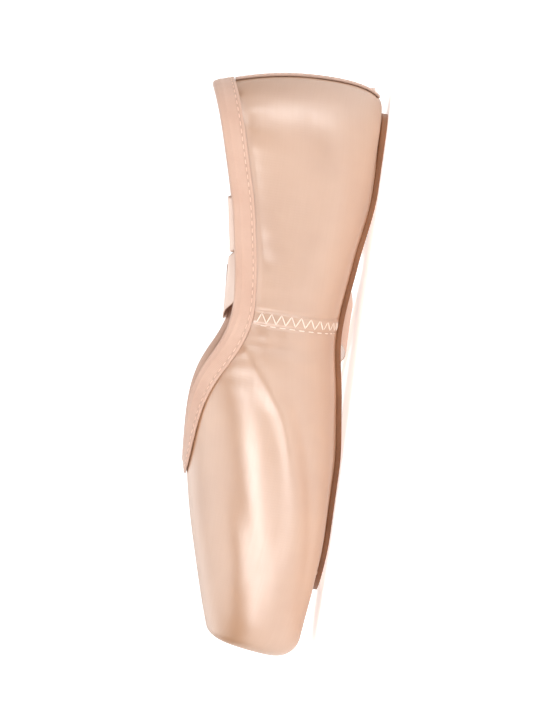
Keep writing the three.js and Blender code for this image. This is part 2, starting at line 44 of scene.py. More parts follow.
# Sizes of the shoe and its pieces in millimetres, as in the part's source
LENGTH = 226
BALL_WIDTH = 82
INSTEP_HEIGHT = 60
HEEL_HEIGHT = 68
VAMP_LENGTH = 72
GAP = 0.3
QUARTER_WALL = 1.8
BOX_WALL = 3.2
SOLE_THICK = 2.4
SOLE_MARGIN = 1.5
SOLE_BEVEL = 0.5
SEAM_SHARE = 6
INSOLE_THICK = 1.2
INSOLE_SPREAD = 1.2
INSOLE_BEVEL = 0.3
INSOLE_GAP = 1.6 * GAP
BINDING_THICK = 0.8
BINDING_GAP = 0.45
BINDING_OUTSIDE = 7.5
BINDING_INSIDE = 5.5
STRIP_THICK = 0.6
STRIP_HALF = 5.5
STRIP_FOOT = 1.28
RIBBON_WIDTH = 22
RIBBON_THICK = 0.5
RIBBON_LENGTH = 470
RIBBON_SEWN = 22
RIBBON_GAP = 0.4

# Rounding of the heel and the toe
HEEL_ROUND = 32
HEEL_FLAT_ROUND = 15
HEEL_UNDER = 9
HEEL_LEAN = 8
HEEL_FADE = 45
TIP_EDGE = 4
TIP_UNDER = 9
TIP_TILT = math.radians(7)
TIP_FADE = 40
FLAT_MOST = 0.9
LOWER_POWER = 2.5
UPPER_POWER = 2.2
THROAT_FULLNESS = 23
THROAT_SOFTNESS = 7

# Places along the last, from the back of the heel
LAST = LENGTH - GAP - STRIP_THICK
BACK = -LENGTH / 2 + GAP + STRIP_THICK
THROAT = LAST - VAMP_LENGTH
THROAT_TURNS = THROAT - 30
BOX_BEGINS = THROAT - 10
BOX_FULL = THROAT + 35
SOLE_BACK = 10.5
SOLE_TIP = LAST - 26
OPEN_BACK = 30
OPEN_FRONT = THROAT + 34
INSOLE_BACK = 14
INSOLE_FRONT = LAST - 30
COLLAR_FRONT = (84, 132)
SEAT = SOLE_THICK + GAP

# Rounding of the ends of the sole, of the opening that it closes and of the insole
SOLE_BACK_ROUND = 12
SOLE_BACK_POWER = 3
SOLE_TIP_ROUND = 19
OPEN_BACK_ROUND = 10
OPEN_FRONT_ROUND = 12
INSOLE_BACK_ROUND = 15
INSOLE_FRONT_ROUND = 18

# Small distances for slopes and for places that count as one
SMALL = 0.002
BESIDE_SPINE = 0.004
TOUCHING = 1e-6
WELDS_PER_MM = 1000


# Small helpers


def smooth(x, low, high):
    """0 below low, 1 above high, with a soft step between them."""
    t = np.clip((np.asarray(x, float) - low) / (high - low), 0, 1)
    return t * t * (3 - 2 * t)


def bell(x, middle, width):
    """A soft bump that is 1 in its middle."""
    return np.exp(-(((x - middle) / width) ** 2))


def waves(x, length, ahead=0.0):
    return np.sin(2 * np.pi * x / length + ahead)


def unit(v):
    return v / np.maximum(np.linalg.norm(v, axis=-1, keepdims=True), 1e-12)


def stacked(*parts):
    """Coordinates brought to one shape and put side by side."""
    return np.stack(np.broadcast_arrays(*parts), -1)


def sided(points, side):
    """Points or ways of the near side as they are for side 1, mirrored to the far side for -1."""
    return points * np.array([1.0, side, 1.0])


def both_sides(*parts):
    """Points or ways of the near side, followed by those of the far side."""
    return [np.concatenate([part, sided(part, -1)]) for part in parts]


def row_lengths(points, axis):
    """Length run along a line or a grid, in millimetres."""
    step = np.linalg.norm(np.diff(points, axis=axis), axis=-1)
    start = np.zeros_like(np.take(step, [0], axis))
    return np.concatenate([start, np.cumsum(step, axis)], axis)


def table(columns, *rows):
    """Rows with named columns."""
    row = namedtuple("row", columns)
    return [row(*values) for values in rows]


def along_line(at, run, values):
    """Points or ways of a line, read at other places of its run."""
    return np.stack([np.interp(at, run, column) for column in values.T], -1)


def close_first(t):
    return 1 - np.cos(t * np.pi / 2)


def close_last(t):
    return np.sin(t * np.pi / 2)


def close_both(t):
    return (1 - np.cos(t * np.pi)) / 2


def close_end(t):
    return 1 - (1 - t) ** 2


def stretches(start, *parts):
    """Places from a start on, by the end of each stretch, its number of steps and its ease."""
    at = [[start]]
    for end, count, *ease in parts:
        t = np.linspace(0, 1, count + 1)[1:]
        at.append(start + (end - start) * (ease[0](t) if ease else t))
        start = end
    return np.concatenate(at)


def round_ended(back, front, back_round, front_round, *counts):
    """Places along a layer, closer together at its round ends."""
    first = (back + back_round, counts[0], close_first)
    return stretches(back, first, (front - front_round, counts[1]), (front, counts[2], close_last))


# The last

# Sections of the last, with the same columns as in the part's source
SECTIONS = table(
    "at half widest crown lift flat",
    (0.0, 0.65, 27, 1.73, 0, 16),
    (0.18, 0.665, 26, 1.66, 0, 17),
    (0.31, 0.725, 26.5, 1.53, 3.5, 15),
    (0.43, 0.805, 27, 1.35, 6, 14),
    (0.55, 0.94, 25.5, 1.15, 2.5, 19),
    (0.665, 1.0, 23.5, 1.01, 0, 24),
    (0.775, 0.965, 21.5, 0.92, 0, 24.5),
    (0.86, 0.89, 21.5, 0.835, 1, 22.5),
    (0.935, 0.765, 22, 0.76, 2.6, 19),
    (1.0, 0.585, 23.5, 0.69, 4, 13),
)
# Collar edge along the quarters, as shares of the length and of the height at the heel
COLLAR = table(
    "at height",
    (0.0, 1.0),
    (0.13, 0.89),
    (0.27, 0.775),
    (0.4, 0.72),
    (0.47, 0.75),
    (0.535, 0.815),
    (0.6, 0.865),
)


def column(rows, name):
    """Smooth values between the rows of a table, as a function of the place along the last."""
    at = np.array([row.at for row in rows]) * LAST
    value = np.array([getattr(row, name) for row in rows], float)
    step = np.diff(at)
    slope = np.diff(value) / step
    tangent = np.zeros(len(at))
    tangent[0], tangent[-1] = slope[0], slope[-1]
    for i in range(1, len(slope)):
        if slope[i - 1] * slope[i] > 0:
            before = 2 * step[i] + step[i - 1]
            after = step[i] + 2 * step[i - 1]
            tangent[i] = (before + after) / (before / slope[i - 1] + after / slope[i])

    def read(s):
        s = np.asarray(s, float)
        i = np.clip(np.searchsorted(at, s, side="left") - 1, 0, len(step) - 1)
        t = np.clip((s - at[i]) / step[i], 0, 1)
        bend = tangent[i] * t * (1 - t) ** 2 - tangent[i + 1] * t * t * (1 - t)
        return value[i] + (value[i + 1] - value[i]) * t * t * (3 - 2 * t) + step[i] * bend

    return read


half_share, widest_height, crown_share, lift, flat_half = (
    column(SECTIONS, name) for name in SECTIONS[0]._fields[1:]
)
collar_share = column(COLLAR, "height")


def end_share(distance, radius, power=2):
    """How much of the full width is left near a round end."""
    short = np.clip(1 - np.asarray(distance, float) / radius, 0, 1)
    return (1 - short**power) ** (1 / power)


def rounding(distance, radius):
    return radius * (1 - end_share(distance, radius))


def wall_at(s):
    return QUARTER_WALL + (BOX_WALL - QUARTER_WALL) * smooth(s, BOX_BEGINS, BOX_FULL)


def underside(s):
    return SEAT + lift(s) + rounding(LAST - np.asarray(s, float), TIP_UNDER)


PLATFORM_FOOT = SEAT + float(lift(LAST)) + TIP_UNDER


def last_point(s, q):
    """Points of the last: s along the length, q round a half section from the sole's middle to the crown."""
    s, q = np.broadcast_arrays(np.asarray(s, float), np.asarray(q, float))
    edge = rounding(LAST - s, TIP_EDGE)
    half = half_share(s) * BALL_WIDTH * end_share(s, HEEL_ROUND) / 2 - edge
    narrow = np.minimum(flat_half(s) * end_share(s, HEEL_FLAT_ROUND), half * FLAT_MOST)
    under, widest = underside(s), widest_height(s)
    crown = crown_share(s) * INSTEP_HEIGHT - edge
    low = np.clip(2 - q, 0, 1) * np.pi / 2
    high = np.clip(q - 2, 0, 1) * np.pi / 2
    out = np.maximum(0, np.cos(low)) ** (2 / LOWER_POWER)
    y = np.where(q <= 1, q * narrow, narrow + (half - narrow) * out)
    y = np.where(q > 2, half * np.maximum(0, np.cos(high)) ** (2 / UPPER_POWER), y)
    z = np.where(q <= 1, under, widest - (widest - under) * np.sin(low) ** (2 / LOWER_POWER))
    z = np.where(q > 2, widest + (crown - widest) * np.sin(high) ** (2 / UPPER_POWER), z)
    forward = np.where(q <= 1, HEEL_UNDER, HEEL_UNDER * (1 - out))
    forward = np.where(q > 2, HEEL_LEAN * ((z - widest) / (HEEL_HEIGHT - widest)) ** 2, forward)
    heel_fade = np.maximum(0, 1 - s / HEEL_FADE) ** 2
    tip_fade = np.maximum(0, 1 - (LAST - s) / TIP_FADE) ** 2
    x = BACK + s + heel_fade * forward - tip_fade * math.tan(TIP_TILT) * (z - PLATFORM_FOOT)
    return np.stack([x, np.maximum(0, y), z], -1)


def last_slopes(s, q):
    """Which way the last runs along its length and round its section."""
    ahead, behind = np.minimum(LAST, s + SMALL), np.maximum(0, s - SMALL)
    above, below = np.minimum(3, q + SMALL), np.maximum(0, q - SMALL)
    along = (last_point(ahead, q) - last_point(behind, q)) / (ahead - behind)[..., None]
    around = (last_point(s, above) - last_point(s, below)) / (above - below)[..., None]
    return along, around


def last_normal(s, q):
    """The way out of the last, straight down where the heel's flat has no width."""
    s, q = np.broadcast_arrays(np.asarray(s, float), np.asarray(q, float))
    along, around = last_slopes(np.maximum(s, BESIDE_SPINE), q)
    normal = unit(np.cross(around, along))
    middle = (s <= 0) | (q >= 3) | (q <= 0)
    normal[..., 1] = np.where(middle, 0, normal[..., 1])
    normal = unit(normal)
    return np.where(((s <= 0) & (q <= 1))[..., None], np.array([0.0, 0.0, -1.0]), normal)


def off_last(s, q, distance):
    """Points that lie off the last by a distance, outwards where it is positive."""
    point = last_point(s, q)
    on_middle = point[..., 1] < TOUCHING
    moved = point + last_normal(s, q) * np.broadcast_to(distance, point.shape[:-1])[..., None]
    moved[..., 1] = np.where(on_middle, 0, moved[..., 1])
    return moved


def collar_turn(s):
    """Where the collar edge cuts a section: by its height on the quarters, by its width round the throat."""
    s = np.asarray(s, float)
    t = np.minimum(s, THROAT)
    widest = widest_height(t)
    rise = (collar_share(t) * HEEL_HEIGHT - widest) / (crown_share(t) * INSTEP_HEIGHT - widest)
    by_height = np.arcsin(rise ** (UPPER_POWER / 2))
    width = np.sqrt(THROAT_FULLNESS * (THROAT - t)) / (half_share(t) * BALL_WIDTH / 2)
    kept = width / (1 + width**THROAT_SOFTNESS) ** (1 / THROAT_SOFTNESS)
    by_width = np.arccos(kept ** (UPPER_POWER / 2))
    front = smooth(t, *COLLAR_FRONT)
    turn = 2 + (by_height + (by_width - by_height) * front) / (np.pi / 2)
    return np.where(s >= THROAT, 3, turn)


def sole_width(s):
    return np.maximum(0, flat_half(s) - SOLE_MARGIN)


def sole_half(s):
    back = end_share(s - SOLE_BACK, SOLE_BACK_ROUND, SOLE_BACK_POWER)
    return sole_width(s) * back * end_share(SOLE_TIP - s, SOLE_TIP_ROUND)


def open_half(s):
    ends = end_share(s - OPEN_BACK, OPEN_BACK_ROUND) * end_share(OPEN_FRONT - s, OPEN_FRONT_ROUND)
    return np.maximum(0, sole_width(s) - SEAM_SHARE) * ends


def collar_places(heel, sides, throat):
    """Places along the collar edge, closer together at the heel and the throat."""
    return stretches(0, (OPEN_BACK, heel, close_first), (THROAT_TURNS, sides), (THROAT, throat, close_end))


# Meshes


def linked(name, data):
    """A new object of the scene."""
    made = bpy.data.objects.new(name, data)
    bpy.context.scene.collection.objects.link(made)
    return made


def dressed(mesh, materials):
    """A mesh as a smooth object with its materials."""
    mesh.shade_smooth()
    mesh.validate()
    for material in materials:
        mesh.materials.append(material)
    return linked(mesh.name, mesh)


class Pile:
    """Grids of points in millimetres that become one welded mesh."""

    def __init__(self):
        self.points, self.uvs, self.marks, self.faces, self.looks = [], [], [], [], []
        self.count = 0

    def grid(self, points, uv=None, look=0, flip=False, mark=0.0, side=1):
        """Adds a grid, mirrored for side -1, with places on the cloth, a material's number and dark marks."""
        if side < 0:
            points, flip = sided(points, side), not flip
        rows, cols = points.shape[:2]
        number = np.arange(rows * cols).reshape(rows, cols) + self.count
        quads = stacked(number[:-1, :-1], number[1:, :-1], number[1:, 1:], number[:-1, 1:]).reshape(-1, 4)
        if uv is None:
            uv = points[..., :2]
        self.points.append(points.reshape(-1, 3))
        self.uvs.append(np.asarray(uv, float).reshape(-1, 2))
        self.marks.append(np.broadcast_to(mark, (rows, cols)).reshape(-1))
        self.faces.append(quads[:, ::-1] if flip else quads)
        self.looks.append(np.full(len(quads), look))
        self.count += rows * cols

    def make(self, name, materials):
        """The mesh, with corners at one place shared and faces that shrink to a line left out."""
        points, uvs, marks = (np.concatenate(part) for part in (self.points, self.uvs, self.marks))
        keys = np.round(points * WELDS_PER_MM).astype(np.int64)
        _, first, shared = np.unique(keys, axis=0, return_index=True, return_inverse=True)
        shared = shared.reshape(-1).tolist()
        faces, looks = [], []
        for face, look in zip(np.concatenate(self.faces).tolist(), np.concatenate(self.looks).tolist()):
            corners = [k for i, k in enumerate(face) if shared[k] != shared[face[i - 1]]]
            if len({shared[k] for k in corners}) == len(corners) > 2:
                faces.append(corners)
                looks.append(look)
        mesh = bpy.data.meshes.new(name)
        mesh.from_pydata((points[first] * MM).tolist(), [], [[shared[k] for k in face] for face in faces])
        cloth = uvs[[k for face in faces for k in face]] * MM
        mesh.uv_layers.new(name="cloth").data.foreach_set("uv", cloth.astype(np.float32).ravel())
        mesh.polygons.foreach_set("material_index", looks)
        mark = mesh.attributes.new("mark", "FLOAT", "POINT")
        mark.data.foreach_set("value", marks[first].astype(np.float32))
        return dressed(mesh, materials)


THREAD_RINGS = 7
THREAD_SIDES = 6
THREAD_BLUNT = 0.03
THREAD_SUNK = 0.3


def threads(name, starts, ends, outs, radius, arch, material):
    """Many short stitches as one mesh, each a bowed round thread from a start to an end."""
    t = np.linspace(0, 1, THREAD_RINGS)
    taper = np.sqrt(np.maximum(THREAD_BLUNT, 1 - (2 * t - 1) ** 4))
    bow = arch * (1 - (2 * t - 1) ** 2) - THREAD_SUNK * radius
    along = unit(ends - starts)
    side = unit(np.cross(along, outs))
    out = np.cross(side, along)
    turn = np.linspace(0, 2 * np.pi, THREAD_SIDES + 1)[:-1]
    middle = starts[:, None] + (ends - starts)[:, None] * t[None, :, None] + out[:, None] * bow[None, :, None]
    ring = np.cos(turn)[None, :, None] * side[:, None] + np.sin(turn)[None, :, None] * out[:, None]
    points = middle[:, :, None] + ring[:, None] * (radius * taper)[None, :, None, None]
    number = np.arange(points[..., 0].size).reshape(points.shape[:3])
    turned = np.roll(number, -1, axis=2)
    quads = stacked(number[:, 1:], turned[:, 1:], turned[:, :-1], number[:, :-1]).reshape(-1, 4)
    caps = number[:, 0].tolist() + number[:, -1, ::-1].tolist()
    mesh = bpy.data.meshes.new(name)
    mesh.from_pydata((points.reshape(-1, 3) * MM).tolist(), [], quads.tolist() + caps)
    return dressed(mesh, [material])


def piece(made, slot, *nodes):
    """Puts an object on the body in place of the CAD nodes that it stands for; its slot is not used."""
    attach(made, "root")
    if nodes:
        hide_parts(*nodes)
    return made


# Materials

# A wave texture of scale 1 has this many bands in a metre
WAVE_BANDS = 20 / (2 * math.pi)


class Look:
    """A Principled material and the nodes that feed it."""

    def __init__(self, name, **sockets):
        self.material = bpy.data.materials.new(name)
        self.material.use_nodes = True
        self.tree = self.material.node_tree
        self.shader = self.tree.nodes["Principled BSDF"]
        for key, value in sockets.items():
            self.shader.inputs[key.replace("_", " ")].default_value = value

    def add(self, kind, inputs=(), **settings):
        node = self.tree.nodes.new("ShaderNode" + kind)
        for key, value in settings.items():
            setattr(node, key, value)
        for key, value in dict(inputs).items():
            if isinstance(value, bpy.types.NodeSocket):
                self.tree.links.new(value, node.inputs[key])
            else:
                node.inputs[key].default_value = value
        return node

    def feed(self, socket, value):
        self.tree.links.new(value, self.shader.inputs[socket])

    def cloth(self, along=1.0, across=1.0):
        """Places on the flat cloth in metres, stretched."""
        uv = self.add("UVMap", uv_map="cloth").outputs[0]
        return self.add("Mapping", {"Vector": uv, "Scale": (along, across, 1.0)}).outputs[0]

    def mark(self):
        return self.add("Attribute", attribute_name="mark").outputs["Fac"]

    def noise(self, vector, scale, detail=3.0, rough=0.55):
        inputs = {"Vector": vector, "Scale": scale, "Detail": detail, "Roughness": rough}
        return self.add("TexNoise", inputs).outputs[0]

    def wave(self, vector, period_mm, direction, distortion):
        place = {"Vector": vector, "Scale": 1 / (WAVE_BANDS * period_mm * MM)}
        waviness = {"Distortion": distortion, "Detail": 1.0, "Detail Scale": 0.3}
        return self.add("TexWave", place | waviness, bands_direction=direction).outputs["Fac"]

    def range(self, value, low, high, to_low=0.0, to_high=1.0):
        inputs = {"Value": value, "From Min": low, "From Max": high, "To Min": to_low, "To Max": to_high}
        return self.add("MapRange", inputs).outputs[0]

    def math(self, operation, a, b):
        return self.add("Math", {0: a, 1: b}, operation=operation).outputs[0]

    def tint(self, factor, a, b):
        """Colour a where factor is 0, b where it is 1."""
        return self.add("Mix", {0: factor, 6: a, 7: b}, data_type="RGBA").outputs[2]

    def bump(self, height, strength, distance_mm, normal=None):
        inputs = {"Height": height, "Strength": strength, "Distance": distance_mm * MM}
        if normal is not None:
            inputs["Normal"] = normal
        return self.add("Bump", inputs).outputs[0]


def rgb(red, green, blue):
    """A colour from its sRGB values, 0 to 255."""
    def straight(value):
        share = value / 255
        return share / 12.92 if share <= 0.04045 else ((share + 0.055) / 1.055) ** 2.4

    return (straight(red), straight(green), straight(blue), 1.0)


def satin_look(name, body, shade, soil_and_shade, thread_mm):
    """Satin: cloudy colour, long fine streaks, a faint weave and a gloss drawn out across the threads."""
    sheen = {"Sheen_Weight": 0.08, "Sheen_Roughness": 0.35, "Sheen_Tint": (1.0, 0.86, 0.78, 1.0)}
    look = Look(name, IOR=2.0, Specular_IOR_Level=1.0, Anisotropic=0.5, **sheen)
    place = look.cloth()
    clouds = look.range(look.noise(place, scale=34.0), 0.35, 0.7)
    streaks = look.noise(look.cloth(along=30.0, across=1400.0), scale=1.0, detail=2.0)
    colour = look.tint(clouds, body, shade)
    colour = look.tint(look.range(streaks, 0.3, 0.75, 0.0, 0.3), colour, shade)
    patches = look.range(look.noise(place, scale=120.0, detail=5.0), 0.3, 0.7, 0.35, 1.0)
    # Darker where marked: on the upper, soil at the toe and painted shade where the satin meets the sole
    grime_and_shade = look.math("MULTIPLY", look.mark(), patches)
    look.feed("Base Color", look.tint(grime_and_shade, colour, soil_and_shade))
    look.feed("Roughness", look.range(streaks, 0.25, 0.8, 0.33, 0.43))
    weft = look.wave(place, thread_mm, "Y", distortion=0.4)
    warp = look.wave(place, thread_mm * 3.1, "X", distortion=0.6)
    woven = look.bump(look.math("ADD", weft, warp), strength=0.22, distance_mm=0.03)
    look.feed("Normal", look.bump(streaks, strength=0.25, distance_mm=0.05, normal=woven))
    look.feed("Tangent", look.add("Tangent", direction_type="UV_MAP", uv_map="cloth").outputs[0])
    return look.material


def weave_look(name, body, shade, period_mm, roughness, depth_mm=0.12):
    """Plain weave: crossing threads that show in relief, with painted shade in the hollows between them,
    darker where it is marked.
    """
    look = Look(name, Roughness=roughness, Sheen_Weight=0.15, Sheen_Roughness=0.6)
    place = look.cloth()
    clouds = look.range(look.noise(place, scale=60.0, detail=4.0), 0.3, 0.75)
    warp, weft = (look.wave(place, period_mm, way, distortion=0.7) for way in "YX")
    height = look.math("MULTIPLY", warp, weft)
    colour = look.tint(clouds, body, shade)
    # Painted shade: the weave's low places are tinted towards the shade colour
    colour = look.tint(look.range(height, 0.0, 0.6, 0.35, 0.0), colour, shade)
    dark = tuple(0.45 * value for value in shade[:3]) + (1.0,)
    look.feed("Base Color", look.tint(look.mark(), colour, dark))
    look.feed("Normal", look.bump(height, strength=0.5, distance_mm=depth_mm))
    return look.material


def leather_look(name, body, shade, dark, roughness):
    """Leather: cloudy colour, long scuffs and a fine grain, darker where it is marked."""
    look = Look(name, IOR=1.45)
    place = look.cloth()
    clouds = look.range(look.noise(place, scale=38.0, detail=5.0), 0.3, 0.72)
    colour = look.tint(clouds, body, shade)
    scratches = look.noise(look.cloth(along=60.0, across=420.0), scale=1.0, detail=4.0)
    colour = look.tint(look.range(scratches, 0.55, 0.8, 0.0, 0.45), colour, shade)
    look.feed("Base Color", look.tint(look.mark(), colour, dark))
    cells = look.add("TexVoronoi", {"Vector": place, "Scale": 1500.0}, feature="F1").outputs["Distance"]
    grain = look.bump(cells, strength=0.25, distance_mm=0.06)
    rough = look.noise(place, scale=260.0, detail=6.0)
    look.feed("Normal", look.bump(rough, strength=0.3, distance_mm=0.12, normal=grain))
    look.feed("Roughness", look.range(clouds, 0.0, 1.0, roughness, roughness + 0.15))
    return look.material


def thread_look(name, body, shade, roughness):
    """Thread: a fine grain in colour and relief."""
    look = Look(name, Roughness=roughness)
    grain = look.noise(look.add("TexCoord").outputs["Object"], scale=3000.0, detail=4.0)
    look.feed("Base Color", look.tint(look.range(grain, 0.3, 0.7), body, shade))
    look.feed("Normal", look.bump(grain, strength=0.3, distance_mm=0.1))
    return look.material


SATIN = satin_look("satin", rgb(181, 134, 98), rgb(170, 121, 84), rgb(153, 108, 70), 0.34)
RIBBON_SATIN = satin_look("ribbon_satin", rgb(224, 187, 164), rgb(214, 172, 147), rgb(196, 156, 127), 0.3)
LINING = weave_look("lining", rgb(246, 230, 215), rgb(234, 212, 193), 0.7, 0.9)
BOARD = weave_look("insole_board", rgb(238, 220, 200), rgb(220, 197, 172), 0.9, 0.85)
TAPE = weave_look("binding_tape", rgb(207, 173, 154), rgb(195, 156, 136), 0.55, 0.7, 0.1)
LEATHER = leather_look("sole_leather", rgb(230, 190, 170), rgb(217, 172, 150), rgb(150, 100, 76), 0.55)
EDGE = leather_look("sole_edge", rgb(158, 108, 74), rgb(128, 84, 56), rgb(96, 60, 38), 0.42)
THREAD = thread_look("stitch_thread", rgb(248, 234, 222), rgb(238, 214, 196), 0.55)
BINDING_THREAD = thread_look("binding_thread", rgb(240, 208, 190), rgb(226, 188, 166), 0.6)


# The upper's satin: how far it stands off the last

# Long folds along the shoe on the near side, 1, or the far one, -1, through three places by s and q
FOLDS = table(
    "side start middle end width rise",
    (1, (100, 2.26), (150, 1.86), (198, 1.69), 4.6, 1.20),
    (1, (120, 1.96), (160, 1.65), (213, 1.42), 2.8, -1.30),
    (1, (116, 1.62), (165, 1.36), (208, 1.24), 5.5, 0.90),
    (1, (150, 2.42), (182, 2.16), (214, 2.02), 6.0, -0.40),
    (1, (10, 2.60), (44, 2.32), (86, 2.08), 7.5, -1.30),
    (1, (12, 1.90), (46, 1.70), (90, 1.58), 7.5, 0.80),
    (-1, (104, 2.20), (146, 1.90), (190, 1.72), 5.5, 0.45),
    (-1, (120, 1.92), (160, 1.66), (202, 1.46), 3.8, -0.60),
    (-1, (148, 2.38), (180, 2.20), (212, 2.05), 6.5, -0.35),
    (-1, (14, 2.58), (46, 2.32), (86, 2.12), 9.0, -0.50),
)
FOLD_FADE = 0.8
# Short folds round the section, between two places by q and s
CROSS_FOLDS = table(
    "side low high width rise",
    (1, (1.25, 86.5), (2.25, 86.0), 3.4, -0.60),
    (1, (1.35, 103.0), (2.30, 104.5), 2.6, -0.50),
    (1, (1.40, 108.5), (2.10, 110.5), 2.4, 0.35),
    (-1, (1.25, 86.0), (2.25, 87.0), 3.6, -0.35),
    (-1, (1.35, 103.5), (2.25, 103.5), 2.6, -0.30),
)
CROSS_FADE = 0.6
# Pleats under the toe, fanned out from the sole's tip by bearings from the middle in degrees
PLEATS = table(
    "bearing length depth",
    (-68, 9, 0.60),
    (-50, 10, 0.80),
    (-33, 11, 0.85),
    (-16, 13, 0.80),
    (1, 23, 1.00),
    (14, 12, 0.80),
    (29, 11, 0.85),
    (47, 11, 0.80),
    (66, 9, 0.60),
)
PLEAT_GROOVE = 0.8
PLEAT_RIDGE_SHARE, PLEAT_RIDGE_AT, PLEAT_RIDGE = 0.55, 1.6, 0.9
PLEAT_TOP = (14, 22)
FAN_BACK = SOLE_TIP - 16
FAN_SOFT = 8
RISE_SHARE = 0.8
# The side seam: its band from heel side to toe side, the sunk lines beside it and the pull of its stitches
SEAM_HEEL, SEAM_TOE, SEAM_LINE = 91.8, 96.6, 94.0
SEAM_GROOVES = table("at width depth", (SEAM_HEEL - 0.4, 0.6, 0.34), (SEAM_TOE + 0.4, 0.65, 0.42))
SEAM_SOFT = 0.5
SEAM_RISE = 0.24
SEAM_PULL = 0.10
SEAM_DRAW = 0.08
STITCH_PITCH = 3.8
# The roll of satin along the sole and the puckers under the binding
ROLL_RISE, ROLL_AT, ROLL_WIDTH = 0.42, 1.7, 1.1
PUCKER_RISE, PUCKER_LENGTH = 0.11, 6.7
PUCKER_FROM, PUCKER_TO = (7.4, 9.5), (10, 22)
LUMP_RISE, FINE_LUMP_RISE = 0.10, 0.045
# Where the relief fades in: down from the binding, out from the middle, the back strip and the sole
OFF_BINDING, OFF_MIDDLE, OFF_STRIP, OFF_SOLE = (7.0, 9.5), (0.5, 6.0), (5.8, 9.0), (-0.2, 0.8)


def sole_distance(s, point, side):
    """Distance out from the sole's outline, and the bearing and distance from the middle of the fan."""
    at = np.linspace(FAN_BACK, SOLE_TIP, 200)
    bearing = np.arctan2(sole_half(at), at - FAN_BACK)
    reach = np.hypot(sole_half(at), at - FAN_BACK)
    x, y = point[..., 0] - BACK - FAN_BACK, point[..., 1]
    rise = RISE_SHARE * np.maximum(0, point[..., 2] - SEAT - lift(s))
    angle = np.arctan2(y, x)
    out = np.hypot(x, y) + rise
    beyond = out - np.interp(angle, bearing[::-1], reach[::-1])
    return np.where(x > 0, beyond, y + rise - sole_half(s)), angle * side, out


def pleats(point, beyond, angle, out):
    """Grooves with a ridge beside each, gathered where the sole ends."""
    total = np.zeros(beyond.shape)
    for pleat in PLEATS:
        aside = (angle - math.radians(pleat.bearing)) * out
        form = PLEAT_RIDGE_SHARE * bell(aside, PLEAT_RIDGE_AT, PLEAT_RIDGE) - bell(aside, 0, PLEAT_GROOVE)
        fade = smooth(beyond, -0.2, 1.0) * (1 - smooth(beyond, 0.3 * pleat.length, pleat.length))
        total += pleat.depth * form * fade
    ahead = smooth(point[..., 0] - BACK, FAN_BACK, FAN_BACK + FAN_SOFT)
    return total * ahead * (1 - smooth(point[..., 2], *PLEAT_TOP))


def long_folds(s, q, girth, side):
    """Soft troughs and ridges along the shoe, each on a curve through its three places."""
    total = np.zeros(q.shape)
    for fold in (fold for fold in FOLDS if fold.side == side):
        along, turn = zip(fold.start, fold.middle, fold.end)
        line = np.polyval(np.polyfit(along, turn, 2), s[:, 0])
        middle = np.array([np.interp(*row) for row in zip(line, q, girth)])
        t = np.clip((s[:, 0] - along[0]) / (along[-1] - along[0]), 0, 1)
        fade = np.sin(np.pi * t) ** FOLD_FADE
        total += fold.rise * bell(girth, middle[:, None], fold.width) * fade[:, None]
    return total


def cross_folds(s, q, side):
    """Short creases round the section, beside the side seam."""
    total = np.zeros(q.shape)
    for fold in (fold for fold in CROSS_FOLDS if fold.side == side):
        t = np.clip((q - fold.low[0]) / (fold.high[0] - fold.low[0]), 0, 1)
        line = fold.low[1] + (fold.high[1] - fold.low[1]) * t
        total += fold.rise * bell(s, line, fold.width) * np.sin(np.pi * t) ** CROSS_FADE
    return total


def side_seam(s, q, girth):
    from_heel = smooth(s, SEAM_HEEL - SEAM_SOFT, SEAM_HEEL + SEAM_SOFT)
    band = SEAM_RISE * from_heel * (1 - smooth(s, SEAM_TOE - SEAM_SOFT, SEAM_TOE + SEAM_SOFT))
    grooves = sum(groove.depth * bell(s, groove.at, groove.width) for groove in SEAM_GROOVES)
    pulls = SEAM_PULL * waves(girth, STITCH_PITCH) * bell(s, (SEAM_HEEL + SEAM_TOE) / 2, 2.6)
    draws = SEAM_DRAW * waves(girth, 2 * STITCH_PITCH, 0.7) * bell(s, SEAM_TOE + 4, 4.0)
    return (band - grooves + pulls + draws) * smooth(q, 1.0, 1.12)


def sole_roll(s, q, beyond):
    low = (1 - smooth(q, 1.45, 1.7)) * smooth(q, 0.6, 0.9)
    return ROLL_RISE * bell(beyond, ROLL_AT, ROLL_WIDTH) * low * smooth(s, 22, 34)


def lumps(s, girth, side):
    """The slight unevenness of satin drawn over paste and canvas."""
    slow = np.sin(s / 13.0 + 0.9 * side) * np.sin(girth / 9.5 + 0.4)
    finer = np.sin(s / 6.1 + girth / 14.0 + side) * np.sin(girth / 5.3 - s / 21.0)
    return LUMP_RISE * slow + FINE_LUMP_RISE * finer


def puckers(s, beneath, side):
    """Small puckers that run out from under the binding."""
    wave = waves(s, PUCKER_LENGTH, 1.4 * np.sin(s / 8.3 + side)) * (0.6 + 0.4 * np.sin(s / 17.0 + 2 * side))
    return PUCKER_RISE * wave * smooth(beneath, *PUCKER_FROM) * (1 - smooth(beneath, *PUCKER_TO))


def edge_distance(point):
    """Distance of each point from the collar edge."""
    s = collar_places(40, 70, 60)
    edge = last_point(s, collar_turn(s))
    return np.stack([np.min(np.linalg.norm(row[:, None] - edge[None], axis=-1), axis=1) for row in point])


def relief(s, q, girth, point, beneath, side):
    """How far the satin stands off the last, flat under the binding, the back strip and the sole."""
    beyond, angle, out = sole_distance(s, point, side)
    at_heel = np.where(s < OPEN_BACK, smooth(point[..., 1], *OFF_STRIP), 1.0)
    off_sole = np.where(q <= 1, smooth(beyond, *OFF_SOLE), 1.0)
    sides = long_folds(s, q, girth, side) + cross_folds(s, q, side) + lumps(s, girth, side)
    sides += side_seam(s, q, girth) + puckers(s, beneath, side)
    sides *= smooth(point[..., 1], *OFF_MIDDLE) * smooth(q, 1.0, 1.15) * smooth(beneath, *OFF_BINDING)
    below = pleats(point, beyond, angle, out) + sole_roll(s, q, beyond)
    return (sides + below) * off_sole * at_heel


# The upper

